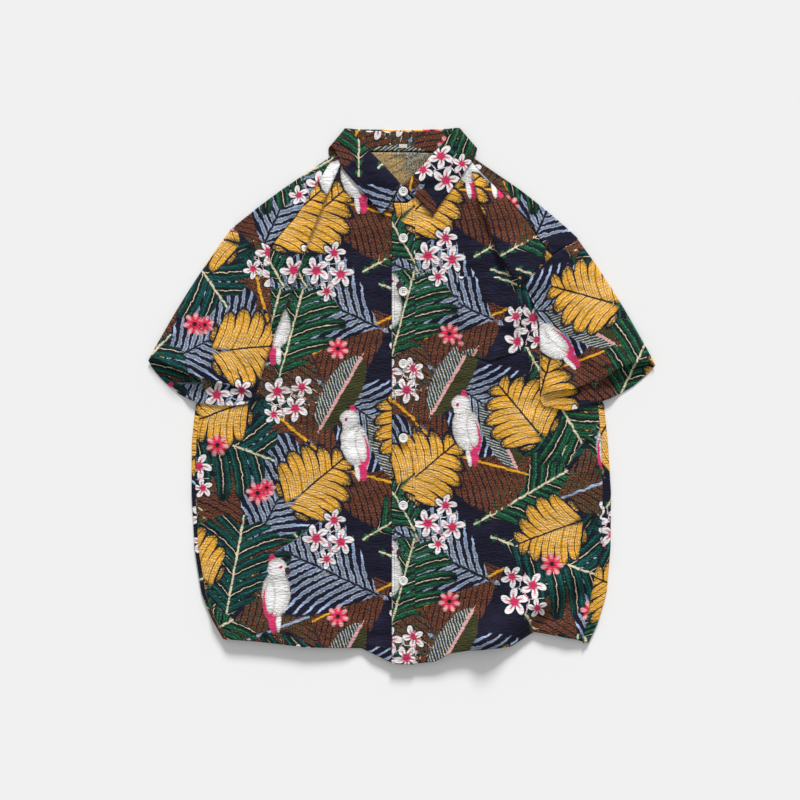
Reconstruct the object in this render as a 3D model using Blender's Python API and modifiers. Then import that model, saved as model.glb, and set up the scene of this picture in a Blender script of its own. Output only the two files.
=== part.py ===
"""Hawaiian shirt with short sleeves, buttoned and laid flat on its back, every cut piece a thin-walled solid.

Metres, +Z up, lying on z = 0. +X is the wearer's left and +Y runs from the hem to the collar. Each piece is a
mid-surface worked out on a grid and given its wall by Solidify. Tables hold one row for each section of a piece.
"""

import math

import bpy
import numpy as np

# Cloth and seams
CLOTH = 0.0012  # wall of the cloth with its turned edges
SEAM = 0.0003  # clear gap between two sewn pieces
SEAM_IN_PLAN = 0.0009  # the same gap between two curved edges, whose straight facets differ a little
STEP = CLOTH + SEAM + 0.0002  # rise from one layer of cloth to the layer lying on it
FLOOR_LAYER = CLOTH / 2  # mid-surface height of cloth that lies on the table

# The lie of the upper cloth: it starts at the rolled edges and rises to a level lofted above the back
EDGE_HEIGHT = 0.0040
LOFT = 0.0045
LOFT_REACH = 0.060
HALF_CHEST = 0.280
SHOULDER_NECK = (0.085, 0.331)
SHOULDER_NORMAL = (0.591, 0.807)

# Front band, pocket and buttons
PLACKET_EDGES = (-0.0132, 0.0179)
LAP_DIP = (-0.080, -0.045)  # the under front sinks below the upper one between these
PLACKET_ENDS = (-0.3585, 0.2600)
BUTTON_X = 0.0020
BUTTON_RADIUS = 0.00625
BUTTON_THICKNESS = 0.0024
BUTTON_BEVEL = 0.0005
BUTTON_SIDES = 20
COLLAR_BUTTON_Y = 0.2755
BUTTON_HEIGHTS = (0.2126, 0.1410, 0.0439, -0.0560, -0.1465, -0.2477)
POCKET = {"left": 0.0759, "right": 0.1600, "top": 0.1610, "shoulder": 0.0600, "point": 0.0470}
LABEL = {"centre": (0.0017, 0.3375), "size": (0.011, 0.005), "thickness": 0.001}

# Hem line of the two fronts: x, y
HEM = np.array([
    (-0.240, -0.3260), (-0.190, -0.3300), (-0.129, -0.3372), (-0.055, -0.3388), (-0.037, -0.3470),
    (-0.013, -0.3588), (0.013, -0.3600), (0.046, -0.3560), (0.065, -0.3450), (0.092, -0.3408),
    (0.147, -0.3364), (0.165, -0.3250), (0.178, -0.3170), (0.200, -0.3205), (0.225, -0.3255),
    (0.247, -0.3290),
])
HEM_REACH = 0.060

# Fronts, one row for each station from the hem to the neck: outer_x, outer_y, centre_x, centre_y
FRONT_RIGHT = np.array([
    (-0.2345, -0.3270, 0.0165, -0.3585), (-0.2480, -0.3050, 0.0165, -0.3250), (-0.2640, -0.2650, 0.0165, -0.2800),
    (-0.2740, -0.2040, 0.0165, -0.2100), (-0.2780, -0.1290, 0.0165, -0.1300), (-0.2765, -0.0600, 0.0165, -0.0550),
    (-0.2700, -0.0080, 0.0165, 0.0050), (-0.2300, 0.0330, 0.0165, 0.0500), (-0.1780, 0.0740, 0.0165, 0.0950),
    (-0.1754, 0.1100, 0.0165, 0.1300), (-0.1754, 0.1420, 0.0165, 0.1650), (-0.1770, 0.1800, 0.0165, 0.2000),
    (-0.1750, 0.2005, 0.0165, 0.2250), (-0.1446, 0.2380, 0.0165, 0.2450), (-0.1114, 0.2880, -0.0130, 0.2615),
    (-0.0985, 0.3115, -0.0500, 0.2920), (-0.0905, 0.3230, -0.0850, 0.3220),
])
FRONT_LEFT = np.array([
    (0.2440, -0.3270, -0.0132, -0.3588), (0.2500, -0.2950, -0.0132, -0.3250), (0.2590, -0.2450, -0.0132, -0.2800),
    (0.2680, -0.1980, -0.0132, -0.2100), (0.2710, -0.1290, -0.0132, -0.1300), (0.2690, -0.0640, -0.0132, -0.0550),
    (0.2640, -0.0120, -0.0132, 0.0050), (0.2350, 0.0350, -0.0132, 0.0500), (0.1880, 0.0880, -0.0132, 0.1000),
    (0.1765, 0.1250, -0.0132, 0.1350), (0.1636, 0.1530, -0.0132, 0.1650), (0.1830, 0.1716, -0.0132, 0.1950),
    (0.2008, 0.1890, -0.0132, 0.2250), (0.1800, 0.2165, -0.0132, 0.2450), (0.1450, 0.2625, 0.0090, 0.2615),
    (0.1120, 0.2960, 0.0500, 0.2920), (0.0930, 0.3190, 0.0870, 0.3200),
])
FRONT_GRID = (33, 14)

# Back, one row for each station from the hem up: left_x, left_y, right_x, right_y
BACK_SIDES = np.array([
    (-0.2400, -0.3266, 0.2510, -0.3320), (-0.2560, -0.3000, 0.2640, -0.3050), (-0.2700, -0.2640, 0.2760, -0.2640),
    (-0.2790, -0.2040, 0.2812, -0.2040), (-0.2832, -0.1290, 0.2818, -0.1290), (-0.2826, -0.0600, 0.2775, -0.0600),
    (-0.2775, -0.0100, 0.2722, -0.0100),
])
BACK_ARMHOLES = np.array([
    (-0.2772, -0.0090, 0.2720, -0.0090), (-0.2640, 0.0240, 0.2632, 0.0240), (-0.2560, 0.0470, 0.2560, 0.0470),
    (-0.2440, 0.0850, 0.2460, 0.0850), (-0.2330, 0.1300, 0.2375, 0.1300), (-0.2280, 0.1800, 0.2330, 0.1750),
    (-0.2270, 0.2195, 0.2310, 0.2050),
])
# Hem line of the back: x, y, drawn up under the fold at the wearer's left
BACK_HEM = np.array([
    (-0.242, -0.3266), (-0.100, -0.3360), (0.000, -0.3380), (0.110, -0.3290), (0.180, -0.3130), (0.249, -0.3320),
])
BACK_YOKE_CENTRE = 0.1963
YOKE_SEAM_DROP = 0.0016  # below the yoke's edge at its fold, whose end is rounded
BACK_ROWS = (14, 8)
BACK_COLUMNS = 9
ROLL_POINTS = 6

# Yoke, one row for each section from the neck to the armhole: fold_x, fold_y, seam_x, seam_y, back_y
YOKE_RIGHT = np.array([
    (-0.0870, 0.3290, -0.0895, 0.3245, 0.3295), (-0.1010, 0.3195, -0.0990, 0.3130, 0.3050),
    (-0.1272, 0.3017, -0.1120, 0.2895, 0.2800), (-0.1630, 0.2777, -0.1313, 0.2580, 0.2560),
    (-0.1922, 0.2561, -0.1450, 0.2392, 0.2350), (-0.2130, 0.2395, -0.1631, 0.2186, 0.2150),
    (-0.2315, 0.2246, -0.1755, 0.2026, BACK_YOKE_CENTRE),
])
YOKE_LEFT = np.array([
    (0.0890, 0.3270, 0.0920, 0.3210, 0.3295), (0.1060, 0.3150, 0.1010, 0.3080, 0.3050),
    (0.1300, 0.2985, 0.1200, 0.2890, 0.2800), (0.1600, 0.2780, 0.1460, 0.2632, 0.2560),
    (0.1900, 0.2545, 0.1680, 0.2408, 0.2350), (0.2150, 0.2335, 0.1822, 0.2172, 0.2150),
    (0.2372, 0.2132, 0.2020, 0.1907, BACK_YOKE_CENTRE),
])
YOKE_ROWS = 13
YOKE_COLUMNS = (7, 5)
BACK_LAYER_RISE = (0.272, 0.290)  # the yoke climbs over the collar that lies under it between these heights

# Sleeves, one row for each line from the armhole to the cuff: layer, arm_x, arm_y, arm_z, cuff_x, cuff_y, cuff_z
# Layer 0 is measured from the table, 1 from the upper cloth of the body.
SLEEVE_RIGHT = np.array([
    (0, -0.2312, 0.2236, 0.0023, -0.3412, 0.0480, 0.0040), (1, -0.2275, 0.2221, 0.0000, -0.3370, 0.0530, 0.0070),
    (1, -0.2120, 0.2163, 0.0000, -0.3220, 0.0473, 0.0100), (1, -0.1940, 0.2092, 0.0000, -0.3060, 0.0370, 0.0125),
    (1, -0.1768, 0.2020, 0.0000, -0.2900, 0.0317, 0.0140), (1, -0.1775, 0.1850, 0.0000, -0.2700, 0.0236, 0.0150),
    (1, -0.1776, 0.1650, 0.0003, -0.2500, 0.0185, 0.0150), (1, -0.1764, 0.1420, 0.0008, -0.2310, 0.0142, 0.0145),
    (1, -0.1757, 0.1100, 0.0020, -0.2140, 0.0110, 0.0140), (1, -0.1740, 0.0780, 0.0048, -0.2010, 0.0030, 0.0135),
    (1, -0.1722, 0.0745, 0.0032, -0.1990, -0.0030, 0.0032), (1, -0.1765, 0.0715, 0.0017, -0.2030, -0.0090, 0.0017),
    (1, -0.2100, 0.0480, 0.0017, -0.2260, -0.0125, 0.0017), (1, -0.2400, 0.0260, 0.0017, -0.2450, -0.0120, 0.0017),
    (1, -0.2620, 0.0100, 0.0017, -0.2660, -0.0095, 0.0017), (1, -0.2700, 0.0050, 0.0018, -0.2820, -0.0060, 0.0015),
    (0, -0.2660, 0.0255, 0.0024, -0.3000, 0.0030, 0.0010), (0, -0.2566, 0.0470, 0.0006, -0.3140, 0.0140, 0.0006),
    (0, -0.2446, 0.0850, 0.0006, -0.3260, 0.0257, 0.0006), (0, -0.2336, 0.1300, 0.0006, -0.3330, 0.0340, 0.0006),
    (0, -0.2286, 0.1800, 0.0006, -0.3375, 0.0400, 0.0006), (0, -0.2290, 0.2195, 0.0006, -0.3392, 0.0440, 0.0006),
])
SLEEVE_LEFT = np.array([
    (0, 0.2369, 0.2120, 0.0023, 0.3412, 0.0420, 0.0040), (1, 0.2335, 0.2100, 0.0000, 0.3370, 0.0470, 0.0070),
    (1, 0.2230, 0.2032, 0.0000, 0.3250, 0.0465, 0.0100), (1, 0.2120, 0.1962, 0.0000, 0.3135, 0.0452, 0.0125),
    (1, 0.2026, 0.1896, 0.0000, 0.2970, 0.0398, 0.0140), (1, 0.1845, 0.1718, 0.0000, 0.2800, 0.0320, 0.0150),
    (1, 0.1650, 0.1530, 0.0003, 0.2630, 0.0230, 0.0150), (1, 0.1700, 0.1385, 0.0010, 0.2450, 0.0155, 0.0145),
    (1, 0.1770, 0.1255, 0.0020, 0.2285, 0.0088, 0.0140), (1, 0.1862, 0.0950, 0.0048, 0.1930, 0.0050, 0.0135),
    (1, 0.1845, 0.0905, 0.0032, 0.1860, -0.0030, 0.0032), (1, 0.1885, 0.0870, 0.0017, 0.1905, -0.0130, 0.0017),
    (1, 0.2150, 0.0580, 0.0017, 0.2224, -0.0190, 0.0017), (1, 0.2400, 0.0320, 0.0017, 0.2433, -0.0150, 0.0017),
    (1, 0.2570, 0.0130, 0.0017, 0.2620, -0.0085, 0.0017), (1, 0.2660, 0.0050, 0.0018, 0.2800, -0.0030, 0.0015),
    (0, 0.2652, 0.0255, 0.0024, 0.2970, 0.0050, 0.0010), (0, 0.2566, 0.0470, 0.0006, 0.3120, 0.0140, 0.0006),
    (0, 0.2466, 0.0850, 0.0006, 0.3230, 0.0230, 0.0006), (0, 0.2381, 0.1300, 0.0006, 0.3310, 0.0300, 0.0006),
    (0, 0.2336, 0.1750, 0.0006, 0.3360, 0.0350, 0.0006), (0, 0.2345, 0.2080, 0.0006, 0.3390, 0.0380, 0.0006),
])
SLEEVE_ROWS = 8
SEWN_ABOVE = slice(0, 10)  # rows of a sleeve sewn to the front and the yoke
SEWN_BELOW = slice(16, 22)  # rows sewn to the back
AT_FOLD = slice(0, 2)  # rows at the shoulder fold, where the wall stands on edge and needs more room
SLEEVE_BOW = 0.005

# Collar, one row for each section from the wearer's right front end, round the back, to the left front end.
# upper is 1 where the collar lies on the fronts and 0 where it lies under the back.
FALL = np.array([
    # fold_x, fold_y, outer_x, outer_y, upper
    (-0.0015, 0.2860, -0.0260, 0.2440, 1.0), (-0.0150, 0.3010, -0.0400, 0.2610, 1.0),
    (-0.0350, 0.3220, -0.0590, 0.2830, 1.0), (-0.0550, 0.3430, -0.0780, 0.3050, 1.0),
    (-0.0655, 0.3535, -0.0850, 0.3210, 1.0), (-0.0735, 0.3600, -0.0935, 0.3370, 0.85),
    (-0.0760, 0.3615, -0.0985, 0.3335, 0.35), (-0.0745, 0.3620, -0.0975, 0.3255, 0.0),
    (-0.0700, 0.3615, -0.0880, 0.3150, 0.0),
    (-0.0580, 0.3605, -0.0660, 0.3080, 0.0), (-0.0300, 0.3600, -0.0330, 0.3050, 0.0),
    (0.0000, 0.3590, 0.0000, 0.3045, 0.0), (0.0300, 0.3600, 0.0330, 0.3050, 0.0),
    (0.0580, 0.3610, 0.0680, 0.3080, 0.0), (0.0735, 0.3625, 0.0920, 0.3150, 0.0),
    (0.0775, 0.3620, 0.1010, 0.3310, 0.35), (0.0750, 0.3605, 0.0990, 0.3345, 0.85),
    (0.0670, 0.3540, 0.0960, 0.3200, 1.0), (0.0570, 0.3430, 0.0870, 0.3060, 1.0),
    (0.0370, 0.3210, 0.0690, 0.2810, 1.0), (0.0170, 0.2990, 0.0530, 0.2600, 1.0),
    (0.0035, 0.2850, 0.0415, 0.2423, 1.0),
])
STAND = np.array([
    # fold_x, fold_y, seam_x, seam_y, upper
    (0.0080, 0.2835, 0.0160, 0.2636, 1.0), (-0.0030, 0.2860, -0.0130, 0.2636, 1.0),
    (-0.0170, 0.3010, -0.0340, 0.2805, 1.0), (-0.0350, 0.3200, -0.0530, 0.2970, 1.0),
    (-0.0540, 0.3400, -0.0720, 0.3120, 1.0), (-0.0660, 0.3520, -0.0840, 0.3240, 0.9),
    (-0.0700, 0.3575, -0.0830, 0.3310, 0.5), (-0.0640, 0.3585, -0.0740, 0.3310, 0.15),
    (-0.0400, 0.3580, -0.0420, 0.3310, 0.0), (0.0000, 0.3570, 0.0000, 0.3310, 0.0),
    (0.0400, 0.3580, 0.0420, 0.3310, 0.0), (0.0650, 0.3590, 0.0760, 0.3310, 0.15),
    (0.0715, 0.3580, 0.0850, 0.3280, 0.5), (0.0670, 0.3520, 0.0862, 0.3220, 0.9),
    (0.0560, 0.3400, 0.0740, 0.3125, 1.0), (0.0370, 0.3190, 0.0530, 0.2970, 1.0),
    (0.0190, 0.2990, 0.0330, 0.2815, 1.0), (0.0030, 0.2845, 0.0090, 0.2636, 1.0),
    (-0.0100, 0.2835, -0.0130, 0.2636, 1.0),
])
BACK_STAND_HEIGHT = 0.0024
COLLAR_SAMPLES = 40
STAND_COLUMNS = 3
STAND_LAP = (0.72, 0.85)  # the stand's under end rises out of the lap between these parts of its length
FALL_COLUMNS = 5

# Largest folds: start_x, start_y, end_x, end_y, width, height
FOLDS = np.array([
    (0.110, -0.330, 0.235, -0.235, 0.020, 0.0090), (0.060, -0.345, 0.110, -0.320, 0.022, 0.0040),
    (-0.110, 0.260, -0.150, 0.150, 0.016, 0.0040), (0.110, 0.265, 0.150, 0.175, 0.018, 0.0045),
    (-0.150, 0.150, -0.170, 0.085, 0.014, 0.0030), (-0.235, -0.290, -0.110, -0.310, 0.030, 0.0030),
    (0.040, -0.100, 0.110, -0.160, 0.030, 0.0020), (-0.120, -0.050, -0.060, -0.130, 0.030, 0.0020),
])

# Colours as linear values, with roughness
PRINT_CLOTH = ((0.045, 0.040, 0.075, 1.0), 0.85)
BUTTON_RESIN = ((0.80, 0.79, 0.76, 1.0), 0.35)
LABEL_CLOTH = ((0.85, 0.85, 0.83, 1.0), 0.80)


def catmull_rom(table, count):
    """Rows read evenly from a smooth curve through the table's rows."""
    where = np.linspace(0.0, len(table) - 1.0, count)
    start = np.minimum(where.astype(int), len(table) - 2)
    t = (where - start)[:, None]
    before, a = table[np.maximum(start - 1, 0)], table[start]
    b, after = table[start + 1], table[np.minimum(start + 2, len(table) - 1)]
    return 0.5 * (2 * a + (b - before) * t + (2 * before - 5 * a + 4 * b - after) * t**2
                  + (3 * a - before - 3 * b + after) * t**3)


def straight_rows(table, count):
    """Rows read evenly from straight lines between the table's rows."""
    where = np.linspace(0.0, len(table) - 1.0, count)
    return np.stack([np.interp(where, np.arange(len(table)), column) for column in table.T], axis=1)


def smoothstep(value):
    """0 below 0, 1 above 1, and a soft S between."""
    value = np.clip(value, 0.0, 1.0)
    return value * value * (3.0 - 2.0 * value)


def fold_height(x, y):
    """Height of the largest folds: each a soft ridge along its segment."""
    total = np.zeros_like(x)
    for start_x, start_y, end_x, end_y, width, height in FOLDS:
        run = np.array((end_x - start_x, end_y - start_y))
        along = np.clip(((x - start_x) * run[0] + (y - start_y) * run[1]) / (run @ run), 0.0, 1.0)
        away = (x - start_x - along * run[0]) ** 2 + (y - start_y - along * run[1]) ** 2
        total += height * np.exp(-away / (2 * width**2))
    return total


def upper_height(x, y):
    """Mid-surface height of the cloth on the upper side: low at the rolled edges, lofted inside them."""
    beyond = (np.abs(x) - SHOULDER_NECK[0]) * SHOULDER_NORMAL[0] + (y - SHOULDER_NECK[1]) * SHOULDER_NORMAL[1]
    inside = np.minimum(HALF_CHEST - np.abs(x), -beyond)
    return EDGE_HEIGHT + LOFT * smoothstep(inside / LOFT_REACH) + fold_height(x, y) * smoothstep(inside / 0.03)


def lower_height(y):
    """Mid-surface height of the cloth on the table, which climbs over the collar near the neck."""
    low, high = BACK_LAYER_RISE
    return FLOOR_LAYER + STEP * smoothstep((y - low) / (high - low))


def across(start, end, count):
    """Points on straight lines from each row of start to each row of end: (rows, count, width)."""
    t = np.linspace(0.0, 1.0, count)[None, :, None]
    return start[:, None, :] * (1 - t) + end[:, None, :] * t


def roll(low, high, outward):
    """Half circles from the lower cloth to the upper cloth, bulging outward: (rows, ROLL_POINTS, 3)."""
    angle = np.linspace(-math.pi / 2, math.pi / 2, ROLL_POINTS)[None, :]
    radius = ((high[:, 2] - low[:, 2]) / 2)[:, None]
    middle = (low + high) / 2
    points = np.repeat(middle[:, None, :], ROLL_POINTS, axis=1)
    points[..., 0] += radius * np.cos(angle) * outward[:, None, 0]
    points[..., 1] += radius * np.cos(angle) * outward[:, None, 1]
    points[..., 2] += radius * np.sin(angle)
    return points


def beside(points, edge, side):
    """Each point moved to its nearest place on an edge, then off it by the seam gap, to the left where side is 1."""
    start, run = edge[:-1], edge[1:] - edge[:-1]
    away = points[:, None, :] - start[None]
    along = np.clip((away * run[None]).sum(-1) / (run**2).sum(-1)[None], 0.0, 1.0)
    place = start[None] + along[..., None] * run[None]
    nearest = np.argmin(((points[:, None, :] - place) ** 2).sum(-1), axis=1)
    each = np.arange(len(points))
    normal = np.stack([-run[:, 1], run[:, 0]], axis=1) / np.linalg.norm(run, axis=1)[:, None]
    return place[each, nearest] + side * SEAM_IN_PLAN * normal[nearest]


def with_height(plan, height):
    """Plan points (..., 2) given their height."""
    return np.concatenate([plan, np.broadcast_to(height, plan.shape[:-1])[..., None]], axis=-1)


def make_material(name, colour, roughness):
    """A Principled material."""
    material = bpy.data.materials.new(name)
    material.use_nodes = True
    shader = material.node_tree.nodes["Principled BSDF"]
    shader.inputs["Base Color"].default_value = colour
    shader.inputs["Roughness"].default_value = roughness
    return material


def grid_faces(rows, columns, closed=False, keep=None):
    """Quads of a grid of rows by columns; closed joins the last column to the first; keep masks them."""
    index = np.arange(rows * columns).reshape(rows, columns)
    right = np.roll(index, -1, axis=1) if closed else index[:, 1:]
    left = index if closed else index[:, :-1]
    quads = np.stack([left[:-1], right[:-1], right[1:], left[1:]], axis=-1)
    return quads[keep] if keep is not None else quads.reshape(-1, 4)


def cloth_piece(name, grid, material, collection, closed=False, keep=None):
    """One cut piece: a grid of mid-surface points, walled to the thickness of the cloth."""
    rows, columns, _ = grid.shape
    faces = grid_faces(rows, columns, closed, keep)
    used = np.unique(faces)
    renumber = np.zeros(rows * columns, dtype=int)
    renumber[used] = np.arange(len(used))
    mesh = bpy.data.meshes.new(name)
    mesh.from_pydata(grid.reshape(-1, 3)[used].tolist(), [], renumber[faces].tolist())
    mesh.shade_smooth()
    piece = bpy.data.objects.new(name, mesh)
    collection.objects.link(piece)
    mesh.materials.append(material)
    wall = piece.modifiers.new("cloth wall", "SOLIDIFY")
    wall.thickness = CLOTH
    wall.offset = 0.0
    return piece


def front_grid(table, columns=FRONT_GRID[1], rows=FRONT_GRID[0]):
    """A front: straight lines from its outer edge to its centre edge, with the hem brought to the hem line."""
    edge = straight_rows(table, rows)
    plan = across(edge[:, :2], edge[:, 2:4], columns)
    hem_y = np.interp(plan[0, :, 0], HEM[:, 0], HEM[:, 1])
    fade = 1.0 - smoothstep((plan[:, :, 1] - plan[0, :, 1]) / HEM_REACH)
    plan[:, :, 1] += (hem_y - plan[0, :, 1])[None, :] * fade
    return plan


def make_fronts(material, collection):
    """Both fronts. The wearer's right one dips under the other where they lap."""
    left = front_grid(FRONT_LEFT)
    cloth_piece("front_left", with_height(left, upper_height(left[..., 0], left[..., 1])), material, collection)
    right = front_grid(FRONT_RIGHT)
    dip = STEP * smoothstep((right[..., 0] - LAP_DIP[0]) / (LAP_DIP[1] - LAP_DIP[0]))
    cloth_piece("front_right", with_height(right, upper_height(right[..., 0], right[..., 1]) - dip),
                material, collection)


def make_back(material, collection):
    """Back panel: flat on the table, its sides rolled up and over to the side seams, then up the armholes."""
    lower = catmull_rom(BACK_SIDES, BACK_ROWS[0])
    upper = catmull_rom(BACK_ARMHOLES, BACK_ROWS[1])[1:]
    sides = np.concatenate([lower, upper])
    folded = np.arange(len(sides)) < BACK_ROWS[0]
    radius = (EDGE_HEIGHT - FLOOR_LAYER) / 2
    inset = np.where(folded, radius, 0.0)
    left, right = sides[:, :2].copy(), sides[:, 2:].copy()
    left[:, 0] += inset
    right[:, 0] -= inset
    flat = across(left, right, BACK_COLUMNS)
    up = np.linspace(0.0, 1.0, len(sides))
    hem_y = np.interp(flat[0, :, 0], BACK_HEM[:, 0], BACK_HEM[:, 1])
    flat[..., 1] += (hem_y - flat[0, :, 1])[None, :] * (1 - smoothstep(up / 0.3))[:, None]
    yoke_edge = np.interp(flat[-1, :, 0], (YOKE_RIGHT[-1, 0], 0.0, YOKE_LEFT[-1, 0]),
                          (YOKE_RIGHT[-1, 1], BACK_YOKE_CENTRE, YOKE_LEFT[-1, 1])) - YOKE_SEAM_DROP
    flat[..., 1] += (yoke_edge - flat[-1, :, 1])[None, :] * smoothstep((up - 0.7) / 0.3)[:, None]
    flat = with_height(flat, FLOOR_LAYER)
    columns = []
    for edge, sign, front in ((flat[:, 0], -1.0, FRONT_RIGHT), (flat[:, -1], 1.0, FRONT_LEFT)):
        high = edge + (0.0, 0.0, 2 * radius)
        outward = np.tile((sign, 0.0), (len(edge), 1))
        rolled = roll(edge, high, outward)[:, 1:]
        seam = straight_rows(front, FRONT_GRID[0])
        seam_x = np.interp(high[:, 1], seam[:, 1], seam[:, 0]) + sign * 2 * SEAM_IN_PLAN
        seam_plan = np.stack([seam_x, high[:, 1]], axis=1)
        seam_point = with_height(seam_plan, upper_height(seam_plan[:, 0], seam_plan[:, 1]))
        columns.append(np.concatenate([rolled, seam_point[:, None]], axis=1))
    grid = np.concatenate([columns[0][:, ::-1], flat, columns[1]], axis=1)
    side_columns = ROLL_POINTS
    keep = np.ones((len(sides) - 1, grid.shape[1] - 1), dtype=bool)
    keep[BACK_ROWS[0] - 1:, :side_columns] = False
    keep[BACK_ROWS[0] - 1:, -side_columns:] = False
    cloth_piece("back", grid, material, collection, keep=keep)


def yoke_half(table, front, side):
    """One side of the yoke, from the centre of the back, round the shoulder fold, to the front yoke seam."""
    rows = straight_rows(table, YOKE_ROWS)
    fold = rows[:, :2]
    seam = beside(rows[:, 2:4], straight_rows(front, FRONT_GRID[0])[:, :2], side)
    centre = np.stack([np.zeros(YOKE_ROWS), rows[:, 4]], axis=1)
    outward = np.tile(np.array(SHOULDER_NORMAL) * (np.sign(table[0, 0]), 1.0), (YOKE_ROWS, 1))
    high_z = np.full(YOKE_ROWS, EDGE_HEIGHT)
    low_z = lower_height(fold[:, 1])
    base = fold - outward * ((high_z - low_z) / 2)[:, None]
    under = across(centre, base, YOKE_COLUMNS[0])
    under = with_height(under, lower_height(under[..., 1]))
    over = across(base, seam, YOKE_COLUMNS[1])
    over = with_height(over, upper_height(over[..., 0], over[..., 1]))
    over[:, 0, 2] = high_z
    turned = roll(under[:, -1], over[:, 0], outward)[:, 1:-1]
    return np.concatenate([under, turned, over], axis=1)


def make_yoke(material, collection):
    """Yoke: two halves that meet at the centre of the back, with the neck hole along their upper edge."""
    right, left = yoke_half(YOKE_RIGHT, FRONT_RIGHT, 1.0), yoke_half(YOKE_LEFT, FRONT_LEFT, -1.0)
    cloth_piece("back_yoke", np.concatenate([right[:, ::-1], left[:, 1:]], axis=1), material, collection)


def armhole_edges(front, yoke, back_columns, side):
    """The edges a sleeve is sewn to: up the front and along the yoke's end, and up the back."""
    front_edge = straight_rows(front, FRONT_GRID[0])[:, :2]
    corner = np.argmin(np.linalg.norm(front_edge - yoke[-1, 2:4], axis=1))
    yoke_corner = beside(yoke[-1:, 2:4], front_edge, side)
    upper = np.concatenate([front_edge[corner - FRONT_GRID[0] // 2:corner + 1], yoke_corner, yoke[-1:, :2]])
    return upper, catmull_rom(BACK_ARMHOLES, BACK_ROWS[1])[:, back_columns]


def sleeve_grid(table, front, yoke, back_columns, side):
    """A sleeve: lines from the armhole seam to the cuff, all the way round the flattened tube."""
    table = table.copy()
    upper, lower = armhole_edges(front, yoke, back_columns, side)
    table[SEWN_ABOVE, 1:3] = beside(table[SEWN_ABOVE, 1:3], upper, side)
    table[SEWN_BELOW, 1:3] = beside(table[SEWN_BELOW, 1:3], lower, side)
    table[AT_FOLD, 2] -= 2 * SEAM_IN_PLAN
    t = np.linspace(0.0, 1.0, SLEEVE_ROWS)[:, None]
    plan = table[None, :, 1:3] * (1 - t[..., None]) + table[None, :, 4:6] * t[..., None]
    bow = 4 * t * (1 - t) * SLEEVE_BOW * np.sign(table[0, 1])
    outer = np.clip((np.abs(table[:, 4]) - 0.27) / 0.06, 0.0, 1.0)[None, :]
    plan[..., 0] += bow * outer
    on_body = upper_height(plan[..., 0], plan[..., 1])
    arm = table[None, :, 3] + table[None, :, 0] * on_body[:1]
    cuff = np.repeat(table[None, :, 6], SLEEVE_ROWS, axis=0)
    over = (table[:, 0] > 0) & (table[:, 6] < 0.005)
    height = arm * (1 - t) + cuff * t
    following = on_body + table[None, :, 3] * (1 - t) + table[None, :, 6] * t
    return with_height(plan, np.where(over[None, :], following, height))


def make_sleeves(material, collection):
    """Both sleeves, whose inner folds lie over the fronts."""
    right = sleeve_grid(SLEEVE_RIGHT, FRONT_RIGHT, YOKE_RIGHT, slice(0, 2), 1.0)
    left = sleeve_grid(SLEEVE_LEFT, FRONT_LEFT, YOKE_LEFT, slice(2, 4), -1.0)
    cloth_piece("sleeve_right", right, material, collection, closed=True)
    cloth_piece("sleeve_left", left, material, collection, closed=True)


def make_placket(material, collection):
    """Front band, on the front it is sewn to."""
    rows = FRONT_GRID[0]
    y = np.linspace(PLACKET_ENDS[0] + 0.0005, PLACKET_ENDS[1], rows)
    low = np.stack([np.full(rows, PLACKET_EDGES[0]), y], axis=1)
    high = np.stack([np.full(rows, PLACKET_EDGES[1]), y], axis=1)
    plan = across(low, high, 3)
    cloth_piece("placket", with_height(plan, upper_height(plan[..., 0], plan[..., 1]) + STEP), material, collection)


def make_pocket(material, collection):
    """Chest pocket, with a shallow point at its bottom."""
    x = np.linspace(POCKET["left"], POCKET["right"], 8)
    middle = (POCKET["left"] + POCKET["right"]) / 2
    reach = (POCKET["right"] - POCKET["left"]) / 2
    bottom = POCKET["point"] + (POCKET["shoulder"] - POCKET["point"]) * np.abs(x - middle) / reach
    low, high = np.stack([x, bottom], axis=1), np.stack([x, np.full(8, POCKET["top"])], axis=1)
    plan = across(low, high, 8)
    cloth_piece("pocket", with_height(plan, upper_height(plan[..., 0], plan[..., 1]) + STEP), material, collection)


def make_stand(material, collection):
    """Collar stand: one strip from the neck seam to the fold, lapped at the front."""
    rows = catmull_rom(STAND, COLLAR_SAMPLES)
    plan = across(rows[:, 2:4], rows[:, :2], STAND_COLUMNS)
    upper = rows[:, 4][:, None]
    lap = np.linspace(-1.0, 1.0, COLLAR_SAMPLES)[:, None]
    dip = STEP * smoothstep((-lap - STAND_LAP[0]) / (STAND_LAP[1] - STAND_LAP[0]))
    height = upper * (upper_height(plan[..., 0], plan[..., 1]) - dip) + (1 - upper) * BACK_STAND_HEIGHT
    cloth_piece("collar_stand", with_height(plan, height), material, collection)


def make_fall(material, collection):
    """Collar fall: one strip from the fold to its outer edge, over the fronts and under the back."""
    rows = catmull_rom(FALL, COLLAR_SAMPLES)
    fold, outer, upper = rows[:, :2], rows[:, 2:4], np.clip(rows[:, 4], 0.0, 1.0)[:, None]
    plan = across(fold, outer, FALL_COLUMNS)
    height = upper * (upper_height(plan[..., 0], plan[..., 1]) + STEP) + (1 - upper) * FLOOR_LAYER
    cloth_piece("collar_fall", with_height(plan, height), material, collection)


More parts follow.
